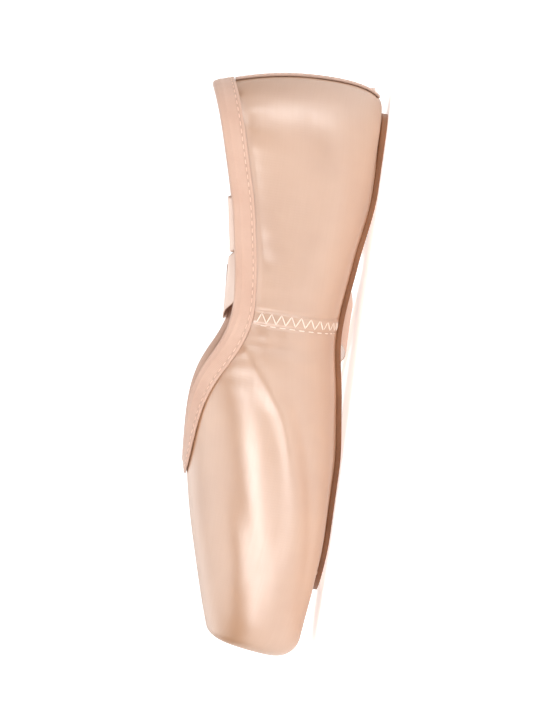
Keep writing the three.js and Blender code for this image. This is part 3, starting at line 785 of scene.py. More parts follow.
SEAM_STRETCH = (88, 102)
STATIONS = stretches(
    0,
    (OPEN_BACK, 36, close_first),
    (SEAM_STRETCH[0], 48),
    (SEAM_STRETCH[1], 36),
    (THROAT_TURNS, 18),
    (THROAT, 50, close_end),
    (OPEN_FRONT, 36, close_last),
    (LAST - TIP_UNDER, 64),
    (LAST - TIP_EDGE, 8),
    (LAST, 12, close_last),
)
# Steps round a half section: flat underside, up to the widest place, over to the collar
OUTER_STEPS = (40, 34, 46)
INNER_STEPS = (2, 9, 13)
END_STEPS = 14
END_INSET = 6.0
# Soil at the tip and in the middle of the toe's flat end, and painted shade along the sole where the satin
# meets it
TIP_SOIL, END_SOIL, SOLE_JOIN_SHADE = 0.55, 0.25, 0.5
# Shift of the far side on the cloth, so that the two sides aren't alike
FAR_SATIN = 400


def turns(s, steps):
    """Places round each section, from the opening underneath to the collar edge or the crown."""
    low = np.minimum(1, open_half(s) / np.maximum(last_point(s, 1.0)[..., 1], TOUCHING))[:, None]
    high = collar_turn(s)[:, None]
    flat, under, over_top = (np.linspace(0, 1, count + 1) for count in steps)
    parts = (low + (1 - low) * flat, 1 + close_both(under[1:]), 2 + (high - 2) * close_both(over_top[1:]))
    return np.concatenate([np.broadcast_to(part, (len(s), part.shape[-1])) for part in parts], axis=1)


def end_rows(row, smooth_row):
    """Rows that close the toe's flat end, from its rim in to a middle line taken from the smooth rim."""
    rim_x, _, rim_z = smooth_row.T
    z = np.clip(rim_z, rim_z[0] + END_INSET, rim_z[-1] - END_INSET)
    middle = stacked(np.interp(z, rim_z, rim_x), 0.0, z)
    t = np.linspace(0, 1, END_STEPS + 1)[1:, None, None]
    return row[None] + (middle - row)[None] * t


# Soil at the toe's tip and flat end, and painted shade in a band along the join with the sole
def upper_soil_and_join_shade(s, q, point):
    tip = TIP_SOIL * smooth(s, LAST - 10, LAST - 1)
    beyond, _, _ = sole_distance(s, point, 1)
    # Painted shade: a narrow dark band on the satin where it meets the sole
    along_sole = SOLE_JOIN_SHADE * bell(beyond, 0.0, 1.6) * (q < 1.6)
    end = np.broadcast_to(np.linspace(TIP_SOIL, END_SOIL, END_STEPS)[:, None], (END_STEPS, q.shape[1]))
    return np.concatenate([np.maximum(tip, along_sole), end])


def make_upper():
    q = turns(STATIONS, OUTER_STEPS)
    s = np.broadcast_to(STATIONS[:, None], q.shape)
    bare = last_point(s, q)
    girth = row_lengths(bare, 1)
    girth = girth - girth[:, [OUTER_STEPS[0]]]
    beneath = edge_distance(bare)
    soil_and_shade = upper_soil_and_join_shade(s, q, bare)
    inner = off_last(STATIONS[:, None], turns(STATIONS, INNER_STEPS), -wall_at(STATIONS)[:, None])
    lining = np.concatenate([inner, end_rows(inner[-1], inner[-1])])
    lining_s = np.concatenate([STATIONS, LAST + np.arange(1, END_STEPS + 1)])[:, None]
    lining_uv = stacked(lining_s, row_lengths(lining, 1))
    at_collar = STATIONS <= THROAT + TOUCHING
    at_sole = (STATIONS >= OPEN_BACK - TOUCHING) & (STATIONS <= OPEN_FRONT + TOUCHING)
    pile = Pile()
    for side, shift in ((1, 0), (-1, FAR_SATIN)):
        outer = off_last(s, q, relief(s, q, girth, bare, beneath, side))
        end = end_rows(outer[-1], bare[-1])
        inward = row_lengths(np.concatenate([outer[-1:], end]), 0)[1:]
        uv = np.concatenate([stacked(s, girth), stacked(LAST + inward, girth[-1])]) + np.array([shift, 0])
        pile.grid(np.concatenate([outer, end]), uv, 0, flip=True, mark=soil_and_shade, side=side)
        pile.grid(lining, lining_uv, 1, side=side)
        rim = np.stack([outer[at_collar, -1], inner[at_collar, -1]], 1)
        pile.grid(rim, None, 1, flip=True, side=side)
        under = np.stack([inner[at_sole, 0], outer[at_sole, 0]], 1)
        pile.grid(under, None, 1, flip=True, side=side)
    return pile.make("satin_upper", [SATIN, LINING])


piece(make_upper(), "satin", "upper")

# The side seam's stitches: where they stop below the collar, where they start, and the straight ones' sizes
SEAM_TOP = 7.2
ZIGZAG_FIRST = 1.6
DASH_FIRST, DASH_LENGTH, DASH_ROOM, DASH_SUNK = 1.4, 2.5, 2.6, 0.30


def seam_stitches():
    """Zigzag over the side seams, with a row of straight stitches on its toe side."""
    q = np.linspace(1.0, float(collar_turn(SEAM_LINE)), 400)
    run = row_lengths(last_point(SEAM_LINE, q), 0)
    top = run[-1] - SEAM_TOP
    zig = np.arange(ZIGZAG_FIRST, top, STITCH_PITCH / 2)
    zig_q = np.interp(zig, run, q)
    zig_s = np.where(np.arange(len(zig)) % 2, SEAM_HEEL + SEAM_SOFT, SEAM_TOE - SEAM_SOFT)
    corner = off_last(zig_s, zig_q, SEAM_RISE + SEAM_PULL * waves(zig, STITCH_PITCH))
    begin = np.arange(DASH_FIRST, top - DASH_ROOM, STITCH_PITCH)
    dash_s = np.full(len(begin), SEAM_TOE + SEAM_SOFT)
    first_q, last_q = (np.interp(at, run, q) for at in (begin, begin + DASH_LENGTH))
    starts = np.concatenate([corner[:-1], off_last(dash_s, first_q, -DASH_SUNK)])
    ends = np.concatenate([corner[1:], off_last(dash_s, last_q, -DASH_SUNK)])
    outs = np.concatenate([last_normal(zig_s, zig_q)[:-1], last_normal(dash_s, first_q)])
    parts = both_sides(starts, ends, outs)
    return threads("side_seam_stitches", *parts, radius=0.23, arch=0.12, material=THREAD)


piece(seam_stitches(), "satin")


# The outsole: scored and creased underneath, with a dark cut edge

# Scored lines under the ball, leaning from across the shoe by degrees, between two places along it
SCORES = table("lean spacing depth first last", (38, 4.9, 0.24, 112, 193), (-34, 6.6, 0.10, 156, 191))
SCORE_WIDTH = 0.34
SOLE_CREASES = table(
    "at width depth",
    (93.5, 0.7, 0.16),
    (100.5, 0.55, 0.26),
    (103.5, 0.5, 0.20),
    (72.0, 0.9, 0.10),
)
DEEPEST = 0.26
TOP_ROUND = 0.25
# Shift of a layer's edge on its cloth, clear of its faces
EDGE_SHIFT = 60


def scored(s, y):
    """Depth of the scored lines, slightly bowed, and of the creases."""
    total = np.zeros(np.broadcast(s, y).shape)
    for score in SCORES:
        slope = math.radians(score.lean)
        across = (s + 0.004 * (y + 22) ** 2) * math.cos(slope) + y * math.sin(slope)
        line = np.abs((across / score.spacing + 0.5) % 1 - 0.5) * score.spacing
        fade = smooth(s, score.first, score.first + 6) * (1 - smooth(s, score.last - 8, score.last))
        total += score.depth * bell(line, 0, SCORE_WIDTH) * fade
    for crease in SOLE_CREASES:
        total += crease.depth * bell(s, crease.at + 0.9 * np.sin(y / 7.0), crease.width)
    return total


def layer_edge(s, half, low, thick, bevel):
    """Places up the edge of a thin layer, from its bevelled underside to its top."""
    profile = (
        (bevel, 0.0),
        (0.35 * bevel, 0.18 * bevel),
        (0.08 * bevel, 0.5 * bevel),
        (0.0, bevel),
        (0.0, 0.6 * thick),
        (0.0, thick - TOP_ROUND),
        (TOP_ROUND, thick),
    )
    inset, height = np.array(profile).T
    return stacked(BACK + s[:, None], np.maximum(0, half[:, None] - inset), low[:, None] + height)


def make_outsole():
    s = round_ended(SOLE_BACK, SOLE_TIP, SOLE_BACK_ROUND, SOLE_TIP_ROUND, 26, 330, 44)
    half, low = sole_half(s), underside(s) - SEAT
    edge = layer_edge(s, half, low, SOLE_THICK, SOLE_BEVEL)
    s, half, low = s[:, None], half[:, None], low[:, None]
    y = edge[:, [0], 1] * np.linspace(-1, 1, 101)
    cut = scored(s, y)
    # Painted shade: the scored lines and creases are darkened as deep as they are cut. The underside is also
    # darker in a band along its rim.
    margin = smooth(np.abs(half - np.abs(y)), 0.6, 2.2)
    dark = np.clip(0.5 * cut / DEEPEST, 0, 0.5) * margin + 0.35 * (1 - margin)
    top_y = edge[:, [-1], 1] * np.linspace(-1, 1, 9)
    pile = Pile()
    pile.grid(stacked(BACK + s, y, low + cut * margin), stacked(s, y), 0, flip=True, mark=dark)
    pile.grid(stacked(BACK + s, top_y, edge[:, [-1], 2]), stacked(s, top_y), 0)
    for side in (1, -1):
        pile.grid(edge, stacked(s, row_lengths(edge, 1) + EDGE_SHIFT), 1, flip=True, side=side)
    return pile.make("leather_sole", [LEATHER, EDGE])


piece(make_outsole(), "sole_leather", "outsole")

INSOLE_CLOSER = (12, 16)
INSOLE_SWELL = 0.18
INSOLE_STITCH, INSOLE_STITCH_WIDTH, INSOLE_STITCH_MARK = 2.6, 0.5, 0.25
INSOLE_EDGE_MARK = 0.2


def make_insole():
    s = round_ended(INSOLE_BACK, INSOLE_FRONT, *INSOLE_CLOSER, 24, 90, 26)
    ends = end_share(s - INSOLE_BACK, INSOLE_BACK_ROUND) * end_share(INSOLE_FRONT - s, INSOLE_FRONT_ROUND)
    half = (flat_half(s) + INSOLE_SPREAD) * ends
    edge = layer_edge(s, half, underside(s) + wall_at(s) + INSOLE_GAP, INSOLE_THICK, INSOLE_BEVEL)
    s, half = s[:, None], half[:, None]
    low_y, y = (edge[:, [at], 1] * np.linspace(-1, 1, 41) for at in (0, -1))
    inside = half - np.abs(y)
    swell = INSOLE_SWELL * smooth(inside, 0.5, 3.0) * (1 + 0.5 * np.sin(s / 8.0) * np.cos(y / 6.0))
    stitched = INSOLE_STITCH_MARK * bell(inside, INSOLE_STITCH, INSOLE_STITCH_WIDTH)
    pile = Pile()
    pile.grid(stacked(BACK + s, low_y, edge[:, [0], 2]), stacked(s, low_y), 0, flip=True)
    top = stacked(BACK + s, y, edge[:, [-1], 2] + swell - 0.1 * stitched)
    pile.grid(top, stacked(s, y), 0, mark=stitched)
    edge_uv = stacked(s, row_lengths(edge, 1) + EDGE_SHIFT)
    for side in (1, -1):
        pile.grid(edge, edge_uv, 0, flip=True, mark=INSOLE_EDGE_MARK, side=side)
    return pile.make("canvas_insole", [BOARD])


piece(make_insole(), "insole_board", "insole")


# The binding and the strip over the back seam


class CollarEdge:
    """The collar edge, the way down from it and its run from the heel."""

    def __init__(self, s):
        self.s, self.q = s, collar_turn(s)
        self.point = last_point(s, self.q)
        self.run = row_lengths(self.point, 0)
        before = np.concatenate([sided(self.point[1:2], -1), self.point[:-1]])
        after = np.concatenate([self.point[1:], sided(self.point[-2:-1], -1)])
        self.down = unit(np.cross(last_normal(s, self.q), unit(after - before)))

    def below(self, depth, distance):
        """Points a depth down from the edge over the last, and a distance off it."""
        steps = 5
        depth, distance = np.broadcast_arrays(depth, distance)
        s = np.broadcast_to(self.s[:, None], depth.shape)
        q = np.broadcast_to(self.q[:, None], depth.shape)
        way = self.down[:, None] * (depth / steps)[..., None]
        for _ in range(steps):
            along, around = last_slopes(np.maximum(s, BESIDE_SPINE), q)
            aa, ar, rr = (np.sum(a * b, -1) for a, b in ((along, along), (along, around), (around, around)))
            wa, wr = np.sum(way * along, -1), np.sum(way * around, -1)
            size = aa * rr - ar * ar
            s = np.where(self.s[:, None] <= 0, 0, np.maximum(0, s + (wa * rr - wr * ar) / size))
            q = np.where(self.q[:, None] >= 3, 3, np.minimum(3, q + (wr * aa - wa * ar) / size))
        return off_last(s, q, distance)


RIM = CollarEdge(collar_places(70, 130, 90))
# The drawstring's swelling inside the tape, the row of stitches, the hems and the notch at the throat, with
# painted shade along the stitch row and in the notch
CORD_DEPTH, CORD_RISE, CORD_WIDTH = 1.9, 0.26, 0.8
BINDING_STITCH, STITCH_SUNK, STITCH_WIDTH = 6.1, 0.16, 0.45
OUTER_HEM, INNER_HEM = 0.35, 0.2
NOTCH_DEPTH, NOTCH_SHADE = 0.3, 0.8
TAPE_STITCH_SHADE, TAPE_STITCH_SHADE_WIDTH = 0.22, 0.35
FAR_TAPE = 500


def make_binding():
    """The tape's outside, its fold over the edge, its inside and its hidden face, as one loop of places."""
    far = BINDING_GAP + BINDING_THICK
    wall, run = wall_at(RIM.s)[:, None], RIM.run[:, None]
    ripple = 0.05 * waves(run, 3.1, 0.8 * np.sin(run / 7.0)) + 0.04 * waves(run, 8.7)
    out_depth = np.linspace(BINDING_OUTSIDE, 0, 31)
    outside = far + CORD_RISE * bell(out_depth, CORD_DEPTH, CORD_WIDTH)
    outside = outside - STITCH_SUNK * bell(out_depth, BINDING_STITCH, STITCH_WIDTH)
    outside = outside - OUTER_HEM * (1 - smooth(BINDING_OUTSIDE - out_depth, -0.3, 0.7))
    outside = outside + ripple * bell(out_depth, BINDING_STITCH, 2.6)
    turn = np.linspace(0, np.pi, 11)[1:-1]
    in_depth = np.linspace(0, BINDING_INSIDE, 13)
    hem = INNER_HEM * smooth(in_depth, BINDING_INSIDE - 0.8, BINDING_INSIDE)
    loop = (
        (out_depth, outside),
        (-far * np.sin(turn), -wall / 2 + (wall / 2 + far) * np.cos(turn)),
        (in_depth, -wall - far + hem + 0.6 * ripple),
        (in_depth[::-1], -wall - BINDING_GAP),
        (np.array([-BINDING_GAP]), -wall / 2),
        (np.linspace(0, BINDING_OUTSIDE, 6), BINDING_GAP),
        (out_depth[:1], outside[:, :1]),
    )
    spread = [np.broadcast_arrays(depth + 0 * run, distance) for depth, distance in loop]
    depth, distance = (np.concatenate(part, 1) for part in zip(*spread))
    notch = bell(run - run[-1], 0, 0.25 + 0.16 * np.maximum(depth, 0)) * (1 - smooth(depth, 1.5, 5.5))
    points = RIM.below(depth, distance - NOTCH_DEPTH * notch * (distance > 0))
    uv = stacked(run, row_lengths(points, 1))
    # Painted shade along the sunk row of stitches and in the notch at the throat
    stitched = TAPE_STITCH_SHADE * bell(depth, BINDING_STITCH, TAPE_STITCH_SHADE_WIDTH)
    shows = np.arange(depth.shape[1]) < len(out_depth)
    mark = np.maximum(stitched, NOTCH_SHADE * notch) * shows
    pile = Pile()
    for side, shift in ((1, 0), (-1, FAR_TAPE)):
        pile.grid(points, uv + np.array([shift, 0]), flip=True, mark=mark, side=side)
    return pile.make("binding_tape", [TAPE])


piece(make_binding(), "binding_tape", "binding")


def edge_stitches():
    """A row of stitches along the lower edge of the binding."""
    pitch, length, sunk = 2.9, 2.0, 0.12
    begin = np.arange(1.0, RIM.run[-1] - length, pitch)
    rows = []
    for run in (begin, begin + length):
        edge = CollarEdge(np.interp(run, RIM.run, RIM.s))
        edge.down = unit(along_line(run, RIM.run, RIM.down))
        depth = np.full((len(run), 1), BINDING_STITCH)
        rows.append(edge.below(depth, BINDING_GAP + BINDING_THICK - sunk)[:, 0])
    parts = both_sides(*rows, last_normal(edge.s, edge.q))
    return threads("binding_stitches", *parts, radius=0.17, arch=0.1, material=BINDING_THREAD)


piece(edge_stitches(), "binding_tape")


def heel_side(q, y):
    """Place along the last where a section of the heel has half width y."""
    shape = np.broadcast(q, y).shape
    near, far = np.zeros(shape), np.full(shape, float(HEEL_ROUND))
    for _ in range(45):
        middle = (near + far) / 2
        less = last_point(middle, q)[..., 1] < y
        near, far = np.where(less, middle, near), np.where(less, far, middle)
    return np.where(y > 0, near, 0.0)


def strip_top():
    """The turn of the heel's section just under the binding."""
    top = float(collar_turn(0.0))
    _, around = last_slopes(np.array(BESIDE_SPINE), np.array(top))
    return top - (BINDING_OUTSIDE + GAP) / float(np.linalg.norm(around))


STRIP_HIGH = strip_top()
STRIP_FACE = GAP + STRIP_THICK
STRIP_LINE = STRIP_HALF - 1.5
STRIP_HEM, STRIP_STITCH_SUNK = 0.22, 0.10
# Painted shade on the back strip: its sunk hems, its stitch lines and its side edges
STRIP_HEM_SHADE, STRIP_STITCH_SHADE, STRIP_EDGE_SHADE = 0.55, 0.2, 0.7


def make_back_strip():
    q = stretches(STRIP_FOOT, (2, 40), (STRIP_HIGH, 60))[:, None]
    q, y = np.broadcast_arrays(q, np.linspace(0, STRIP_HALF, 15))
    s = heel_side(q, y)
    fall = STRIP_HEM * smooth(y, STRIP_HALF - 0.9, STRIP_HALF) + STRIP_STITCH_SUNK * bell(y, STRIP_LINE, 0.4)
    outer, inner = off_last(s, q, STRIP_FACE - fall), off_last(s, q, GAP)
    uv = stacked(row_lengths(outer, 0), y)
    # Painted shade along the hems and the stitch lines
    mark = STRIP_HEM_SHADE * smooth(y, STRIP_HALF - 0.55, STRIP_HALF)
    mark = mark + STRIP_STITCH_SHADE * bell(y, STRIP_LINE, 0.35)
    pile = Pile()
    for side in (1, -1):
        pile.grid(outer, uv, mark=mark, side=side)
        pile.grid(inner, uv, flip=True, side=side)
        # Painted shade on the side edges
        pile.grid(np.stack([outer[:, -1], inner[:, -1]], 1), mark=STRIP_EDGE_SHADE, side=side)
        pile.grid(np.stack([inner[0], outer[0]]), side=side)
        pile.grid(np.stack([outer[-1], inner[-1]]), side=side)
    return pile.make("back_seam_tape", [TAPE])


piece(make_back_strip(), "binding_tape", "back_strip")


def strip_stitches():
    """A row of stitches along each side of the strip."""
    pitch, length, sunk = 2.8, 1.9, 0.06
    q = np.linspace(STRIP_FOOT, STRIP_HIGH, 500)
    run = row_lengths(off_last(heel_side(q, STRIP_LINE), q, STRIP_FACE), 0)
    begin = np.arange(1.0, run[-1] - 3, pitch)
    rows = []
    for at in (begin, begin + length):
        turn = np.interp(at, run, q)
        s = heel_side(turn, STRIP_LINE)
        rows.append(off_last(s, turn, STRIP_FACE - sunk))
    parts = both_sides(*rows, last_normal(s, turn))
    return threads("back_seam_stitches", *parts, radius=0.16, arch=0.1, material=BINDING_THREAD)


piece(strip_stitches(), "binding_tape")


# The ribbons, along the same routes as in the part's source

FREE_COLUMNS, FLOOR_COLUMNS = "x y z bearing lean", "x y bearing lean"
RIGHT_HANG = table(FREE_COLUMNS, (-53.8, -32.6, 15, 0, 0), (-54, -36.2, 6, 0, 0))
RIGHT_FLOOR = table(
    FLOOR_COLUMNS,
    (-54.5, -46, 0, 0), (-55, -62, -6, 10), (-57, -80, -20, 42), (-61, -98, -44, 70),
    (-72, -109, -76, 78), (-87, -112, -88, 78), (-101, -118, -62, 78), (-108.5, -132, -10, 78),
    (-105, -149, 38, 78), (-91, -160, 76, 77), (-71, -161, 94, 64), (-49, -154, 104, 40),
    (-28, -147, 100, 18), (-6, -145, 88, 5), (16, -149, 80, 0), (38, -156, 79, 0),
    (60, -159, 88, 0), (82, -157, 98, 0), (104, -151, 106, 0), (124, -144, 110, 0),
    (138, -139, 110, 0),
)
LEFT_ACROSS = table(
    FREE_COLUMNS,
    (-49.4, 20.5, 47.8, 4, 0),
    (-47, 13, 46.8, 16, 0),
    (-40, 0, 46.5, 28, 0),
    (-32.5, -12, 48.5, 24, 0),
    (-26.5, -21, 52.2, 6, 0),
)
LEFT_HANG = table(FREE_COLUMNS, (-22.6, -35.2, 15, 2, 4), (-20, -39.5, 5.5, 12, 3))
LEFT_FLOOR = table(
    FLOOR_COLUMNS,
    (-12, -52, 30, 0), (-1, -67, 40, 14), (15, -80, 58, 44), (34, -86, 82, 68),
    (54, -86, 94, 76), (74, -84, 94, 78), (93, -86, 72, 78), (107, -96, 30, 78),
    (109, -110, -18, 78), (100, -121, -64, 78), (84, -124, -92, 70), (64, -120, -102, 48),
    (43, -116, -98, 22), (21, -115, -90, 6), (-2, -116, -86, 0), (-25, -118, -88, 0),
    (-48, -118, -92, 0), (-64, -118, -90, 0),
)
RIBBON_AT, RIBBON_CROSSES_AT, CROSSING_SLACK = 62, 89, 1
RIGHT_RISE, LEFT_RISE = 0.7, 2.2
RIGHT_INSIDE, LEFT_INSIDE = (RIBBON_SEWN, 12, 5), (RIBBON_SEWN, 14, 7)
DOWN_OUTSIDE = (6, 14, 22)
RIBBON_OFF = BINDING_GAP + BINDING_THICK + RIBBON_GAP + RIBBON_THICK / 2
RIBBON_INSIDE = -QUARTER_WALL - RIBBON_OFF
EDGE_STEP = 2


def wide_away(bearing, lean):
    """The way across a ribbon, by its bearing from the toe and its lean up from the floor in degrees."""
    bearing, lean = math.radians(bearing), math.radians(lean)
    return np.array([math.cos(lean) * math.cos(bearing), math.cos(lean) * math.sin(bearing), math.sin(lean)])


def free_rows(rows):
    return [(np.array([row.x, row.y, row.z], float), wide_away(row.bearing, row.lean)) for row in rows]


def floor_rows(rows):
    """Rows on the floor, as high as they lean."""
    made = []
    for row in rows:
        z = GAP + RIBBON_WIDTH / 2 * math.sin(math.radians(row.lean)) + RIBBON_THICK / 2
        made.append((np.array([row.x, row.y, z]), wide_away(row.bearing, row.lean)))
    return made


def wall_rows(s, side, spots):
    """Rows against the left wall, side 1, or the right one, -1, by depths from the edge and distances off."""
    edge = CollarEdge(np.array([s - EDGE_STEP, s, s + EDGE_STEP], float))
    tangent = unit(edge.point[2] - edge.point[0])
    edge.down[:] = unit(np.cross(last_normal(edge.s[1], edge.q[1]), tangent))
    depth, distance = (np.array([part] * 3, float) for part in zip(*spots))
    return [(sided(point, side), sided(tangent, side)) for point in edge.below(depth, distance)[1]]


def down_wall(depths, distance):
    return [(depth, distance) for depth in depths]


def over(start, rise, slack=0.0):
    """Places round the collar edge, from a turn on its inside to its outside."""
    half, turn = QUARTER_WALL / 2, np.linspace(start, 0, 5)
    return list(zip((RIBBON_OFF + rise) * np.sin(turn), -half + (half + RIBBON_OFF + slack) * np.cos(turn)))


def catmull(points, t):
    """A centripetal curve through points, at t from 0 to 1."""
    last = len(points) - 1
    padded = np.concatenate([2 * points[:1] - points[1:2], points, 2 * points[-1:] - points[-2:-1]])
    at = np.clip(np.asarray(t, float), 0, 1) * last
    i = np.minimum(at.astype(int), last - 1)
    w = (at - i)[:, None]
    p0, p1, p2, p3 = (padded[i + k] for k in range(4))
    spans = (p1 - p0, p2 - p1, p3 - p2)
    d0, d1, d2 = (np.maximum(np.sum(span**2, -1) ** 0.25, 1e-4)[:, None] for span in spans)
    t1 = ((p1 - p0) / d0 - (p2 - p0) / (d0 + d1) + (p2 - p1) / d1) * d1
    t2 = ((p2 - p1) / d1 - (p3 - p1) / (d1 + d2) + (p3 - p2) / d2) * d1
    return p1 + t1 * w + (-3 * p1 + 3 * p2 - 2 * t1 - t2) * w**2 + (2 * p1 - 2 * p2 + t1 + t2) * w**3


RIBBON_ROWS, RIBBON_COLUMNS = 480, 21
ROUTE_SAMPLES = 12000
SOFTENED = 9


class Ribbon:
    """A ribbon's middle line, the way across it and the way off its face, every millimetre or so."""

    def __init__(self, rows):
        middles, wides = (np.array(part) for part in zip(*rows))
        fine = np.linspace(0, 1, ROUTE_SAMPLES)
        self.run = np.linspace(0, RIBBON_LENGTH, RIBBON_ROWS)
        t = np.interp(self.run, row_lengths(catmull(middles, fine), 0), fine)
        self.middle = catmull(middles, t)
        way = unit(catmull(middles, t + 1e-4) - catmull(middles, t - 1e-4))
        wide = along_line(t * (len(rows) - 1), np.arange(len(rows)), wides)
        padded = np.pad(wide, ((SOFTENED // 2, SOFTENED // 2), (0, 0)), mode="edge")
        kernel = np.ones(SOFTENED) / SOFTENED
        wide = np.stack([np.convolve(part, kernel, "valid") for part in padded.T], -1)
        self.wide = unit(wide - way * np.sum(wide * way, -1, keepdims=True))
        self.thin = unit(np.cross(way, self.wide))
        reach = (np.abs(self.wide[:, 2]) * RIBBON_WIDTH + np.abs(self.thin[:, 2]) * RIBBON_THICK) / 2
        self.middle[:, 2] = np.maximum(self.middle[:, 2], GAP + reach)


# The light curl of the ribbons where they lie free, their raised selvedges and their cut ends
CURL, CURL_LENGTH, CURL_FROM = 0.25, 19.0, (125, 165)
SELVEDGE_RISE, SELVEDGE_FALL = 0.10, 0.12
SELVEDGE_FROM, SELVEDGE_END = (0.42, 0.47), (0.485, 0.5)
FACE_SUNK = 0.05
CUT_MARK = 0.3
BACK_FACE = 40


def make_ribbon(name, line):
    share = np.linspace(0.5, -0.5, RIBBON_COLUMNS)
    across = share * RIBBON_WIDTH
    free = smooth(line.run, *CURL_FROM)[:, None]
    curl = CURL * np.sin(line.run / CURL_LENGTH)[:, None] * np.cos(np.pi * share) * free
    selvedge = SELVEDGE_RISE * smooth(np.abs(share), *SELVEDGE_FROM)
    selvedge = selvedge - SELVEDGE_FALL * smooth(np.abs(share), *SELVEDGE_END)
    flat = line.middle[:, None] + line.wide[:, None] * across[None, :, None]
    face = RIBBON_THICK / 2 - FACE_SUNK + selvedge
    top, bottom = (flat + line.thin[:, None] * (side * face + curl)[..., None] for side in (1, -1))
    uv = stacked(line.run[:, None], across)
    pile = Pile()
    pile.grid(top, uv, 0, flip=True)
    pile.grid(bottom, uv + np.array([0, BACK_FACE]), 0)
    for at, flip in ((0, False), (-1, True)):
        pile.grid(np.stack([top[:, at], bottom[:, at]], 1), None, 0, flip=flip)
        pile.grid(np.stack([top[at], bottom[at]]), None, 0, flip=flip, mark=CUT_MARK)
    made = piece(pile.make(name, [RIBBON_SATIN]), "ribbon_satin", name.replace("satin_", ""))
    return made


right_spots = down_wall(RIGHT_INSIDE, RIBBON_INSIDE) + over(-math.pi, RIGHT_RISE)
right_spots += down_wall(DOWN_OUTSIDE, RIBBON_OFF)
right_line = Ribbon(
    wall_rows(RIBBON_AT, -1, right_spots) + free_rows(RIGHT_HANG) + floor_rows(RIGHT_FLOOR)
)
crossing_spots = over(-math.pi / 2, LEFT_RISE, CROSSING_SLACK)
crossing_spots += down_wall(DOWN_OUTSIDE, RIBBON_OFF + CROSSING_SLACK)
left_line = Ribbon(
    wall_rows(RIBBON_AT, 1, down_wall(LEFT_INSIDE, RIBBON_INSIDE))
    + free_rows(LEFT_ACROSS)
    + wall_rows(RIBBON_CROSSES_AT, -1, crossing_spots)
    + free_rows(LEFT_HANG)
    + floor_rows(LEFT_FLOOR)
)
make_ribbon("satin_ribbon_right", right_line)
make_ribbon("satin_ribbon_left", left_line)

# The square of stitches at the sewn end, along the ribbon and in from its edges
SEWN_FROM, SEWN_TO = 2.5, RIBBON_SEWN - 9.0
SEWN_HALF = RIBBON_WIDTH / 2 - 2.2


def sewn_stitches(name, line, face):
    """A square of stitches through the ribbon's end, on the face that looks into the shoe."""
    pitch, length, first = 2.6, 1.8, 0.4

    def spot(run, across):
        middle, wide, thin = (along_line(run, line.run, way) for way in (line.middle, line.wide, line.thin))
        return middle + wide * across[:, None] + face * thin * (RIBBON_THICK / 2), face * unit(thin)

    pairs = []
    for run, across, way in (
        (SEWN_FROM, -SEWN_HALF, (1, 0)),
        (SEWN_FROM, SEWN_HALF, (1, 0)),
        (SEWN_FROM, -SEWN_HALF, (0, 1)),
        (SEWN_TO, -SEWN_HALF, (0, 1)),
    ):
        reach = SEWN_TO - SEWN_FROM if way[0] else 2 * SEWN_HALF
        begin = np.arange(first, reach - length, pitch)
        pairs.append([(run, across) + np.outer(at, way) for at in (begin, begin + length)])
    (starts, outs), (ends, _) = (spot(*np.concatenate(part).T) for part in zip(*pairs))
    return threads(name, starts, ends, outs, radius=0.17, arch=0.1, material=BINDING_THREAD)


piece(sewn_stitches("ribbon_stitches_right", right_line, 1), "ribbon_satin")
piece(sewn_stitches("ribbon_stitches_left", left_line, -1), "ribbon_satin")


# Floor, light and camera

FLOOR_DROP = 0.15
FLOOR_RINGS = (0.0, 400, 1000, 2000, 3500, 5000)
FLOOR_COVE, FLOOR_WALL = 900, 1500
FLOOR_GLOW, RIM_GLOW, WORLD_GLOW = 0.55, 0.4, 0.14
PALE = (0.92, 0.92, 0.92, 1.0)
WHITE = (1.0, 1.0, 1.0, 1.0)


def make_floor():
    """A round pale floor that turns up into a lit rim."""
    turn = np.linspace(0, np.pi / 2, 9)[1:]
    flat, end = len(FLOOR_RINGS), FLOOR_RINGS[-1]
    radius = np.concatenate([FLOOR_RINGS, end + FLOOR_COVE * np.sin(turn), [end + FLOOR_COVE]])[:, None]
    height = np.concatenate([np.zeros(flat), FLOOR_COVE * (1 - np.cos(turn)), [FLOOR_WALL]])[:, None]
    bearing = np.linspace(0, 2 * np.pi, 73)
    points = stacked(radius * np.cos(bearing), radius * np.sin(bearing), height - FLOOR_DROP)
    looks = [
        Look(name, Roughness=0.9, Base_Color=PALE, Emission_Color=PALE, Emission_Strength=glow).material
        for name, glow in (("studio_floor", FLOOR_GLOW), ("studio_rim", RIM_GLOW))
    ]
    pile = Pile()
    pile.grid(points[:flat], None, 0)
    pile.grid(points[flat - 1 :], None, 1)
    pile.make("studio_floor", looks)


def lamp(name, kind, place, target, power):
    """A light at a place that looks at a target."""
    light = bpy.data.lights.new(name, kind)
    light.energy = power
    made = linked(name, light)
    made.visible_camera = False
    made.location = place
    made.rotation_euler = (Vector(target) - Vector(place)).to_track_quat("-Z", "Y").to_euler()
    return light


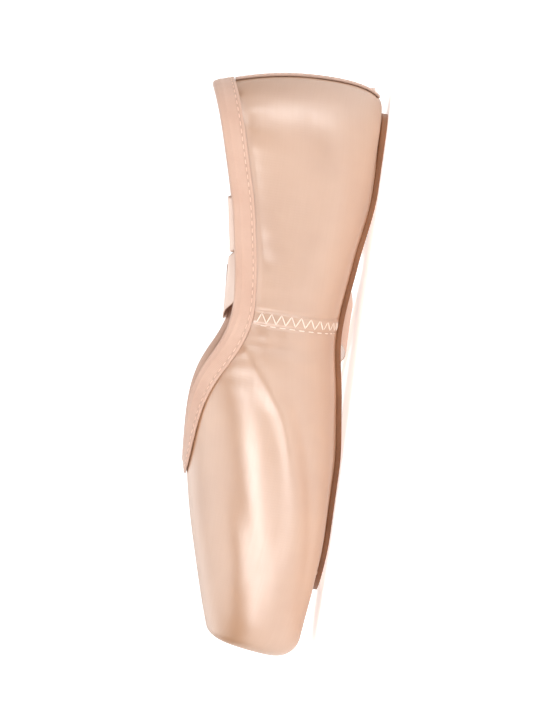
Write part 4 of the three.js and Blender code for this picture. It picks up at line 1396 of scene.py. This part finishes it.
# Softboxes with their places, targets and sizes in metres
SOFTBOXES = table(
    "name place target size power",
    ("strip", (0.22, 0.9, 0.5), (0.08, 0.0, 0.03), (0.7, 0.12), 3.9),
    ("back", (0.3, -1.2, 0.9), (0.0, -0.05, 0.03), (1.6, 0.9), 8.0),
    ("toe", (0.75, 1.0, 0.25), (0.06, 0.0, 0.03), (0.5, 0.2), 2.5),
    ("heel", (-0.9, 0.55, 0.14), (-0.09, 0.02, 0.03), (0.3, 0.25), 1.2),
)
DAYLIGHT_PLACE, DAYLIGHT_SPREAD, DAYLIGHT_POWER = (0.3, 0.15, 3.0), math.radians(70), 1.75


def make_lights():
    lamp("overhead", "SUN", DAYLIGHT_PLACE, (0.0, 0.0, 0.0), DAYLIGHT_POWER).angle = DAYLIGHT_SPREAD
    for box in SOFTBOXES:
        light = lamp(box.name, "AREA", box.place, box.target, box.power)
        light.shape = "RECTANGLE"
        light.size, light.size_y = box.size


SHOE_MIDDLE = Vector((0.0, 0.0, 0.032))
CAMERA_AZIMUTH = math.radians(184)
CAMERA_ELEVATION = math.radians(1.5)
CAMERA_LEAN = math.radians(8)
CAMERA_DISTANCE = 1.6
FRAME_HEIGHT = 0.282


def make_camera():
    """The photo's view of the shoe's side, rolled so that the toe points down."""
    level = math.cos(CAMERA_ELEVATION)
    turn = Vector((math.sin(CAMERA_AZIMUTH), -math.cos(CAMERA_AZIMUTH), 0.0))
    back = turn * level + Vector((0.0, 0.0, math.sin(CAMERA_ELEVATION)))
    heel_up = Vector((-math.cos(CAMERA_LEAN), 0.0, math.sin(CAMERA_LEAN)))
    right = heel_up.cross(back).normalized()
    up = back.cross(right)
    data = bpy.data.cameras.new("camera")
    data.sensor_width = 36
    data.lens = data.sensor_width * CAMERA_DISTANCE / FRAME_HEIGHT
    made = linked("camera", data)
    aim = Matrix((right, up, back)).transposed().to_4x4()
    made.matrix_world = Matrix.Translation(SHOE_MIDDLE + back * CAMERA_DISTANCE) @ aim
    bpy.context.scene.camera = made


make_floor()
make_lights()
make_camera()

scene = bpy.context.scene
scene.world = bpy.data.worlds.new("studio")
scene.world.use_nodes = True
background = scene.world.node_tree.nodes["Background"]
background.inputs["Color"].default_value = WHITE
background.inputs["Strength"].default_value = WORLD_GLOW
scene.view_settings.view_transform = "Standard"

bpy.context.view_layer.update()
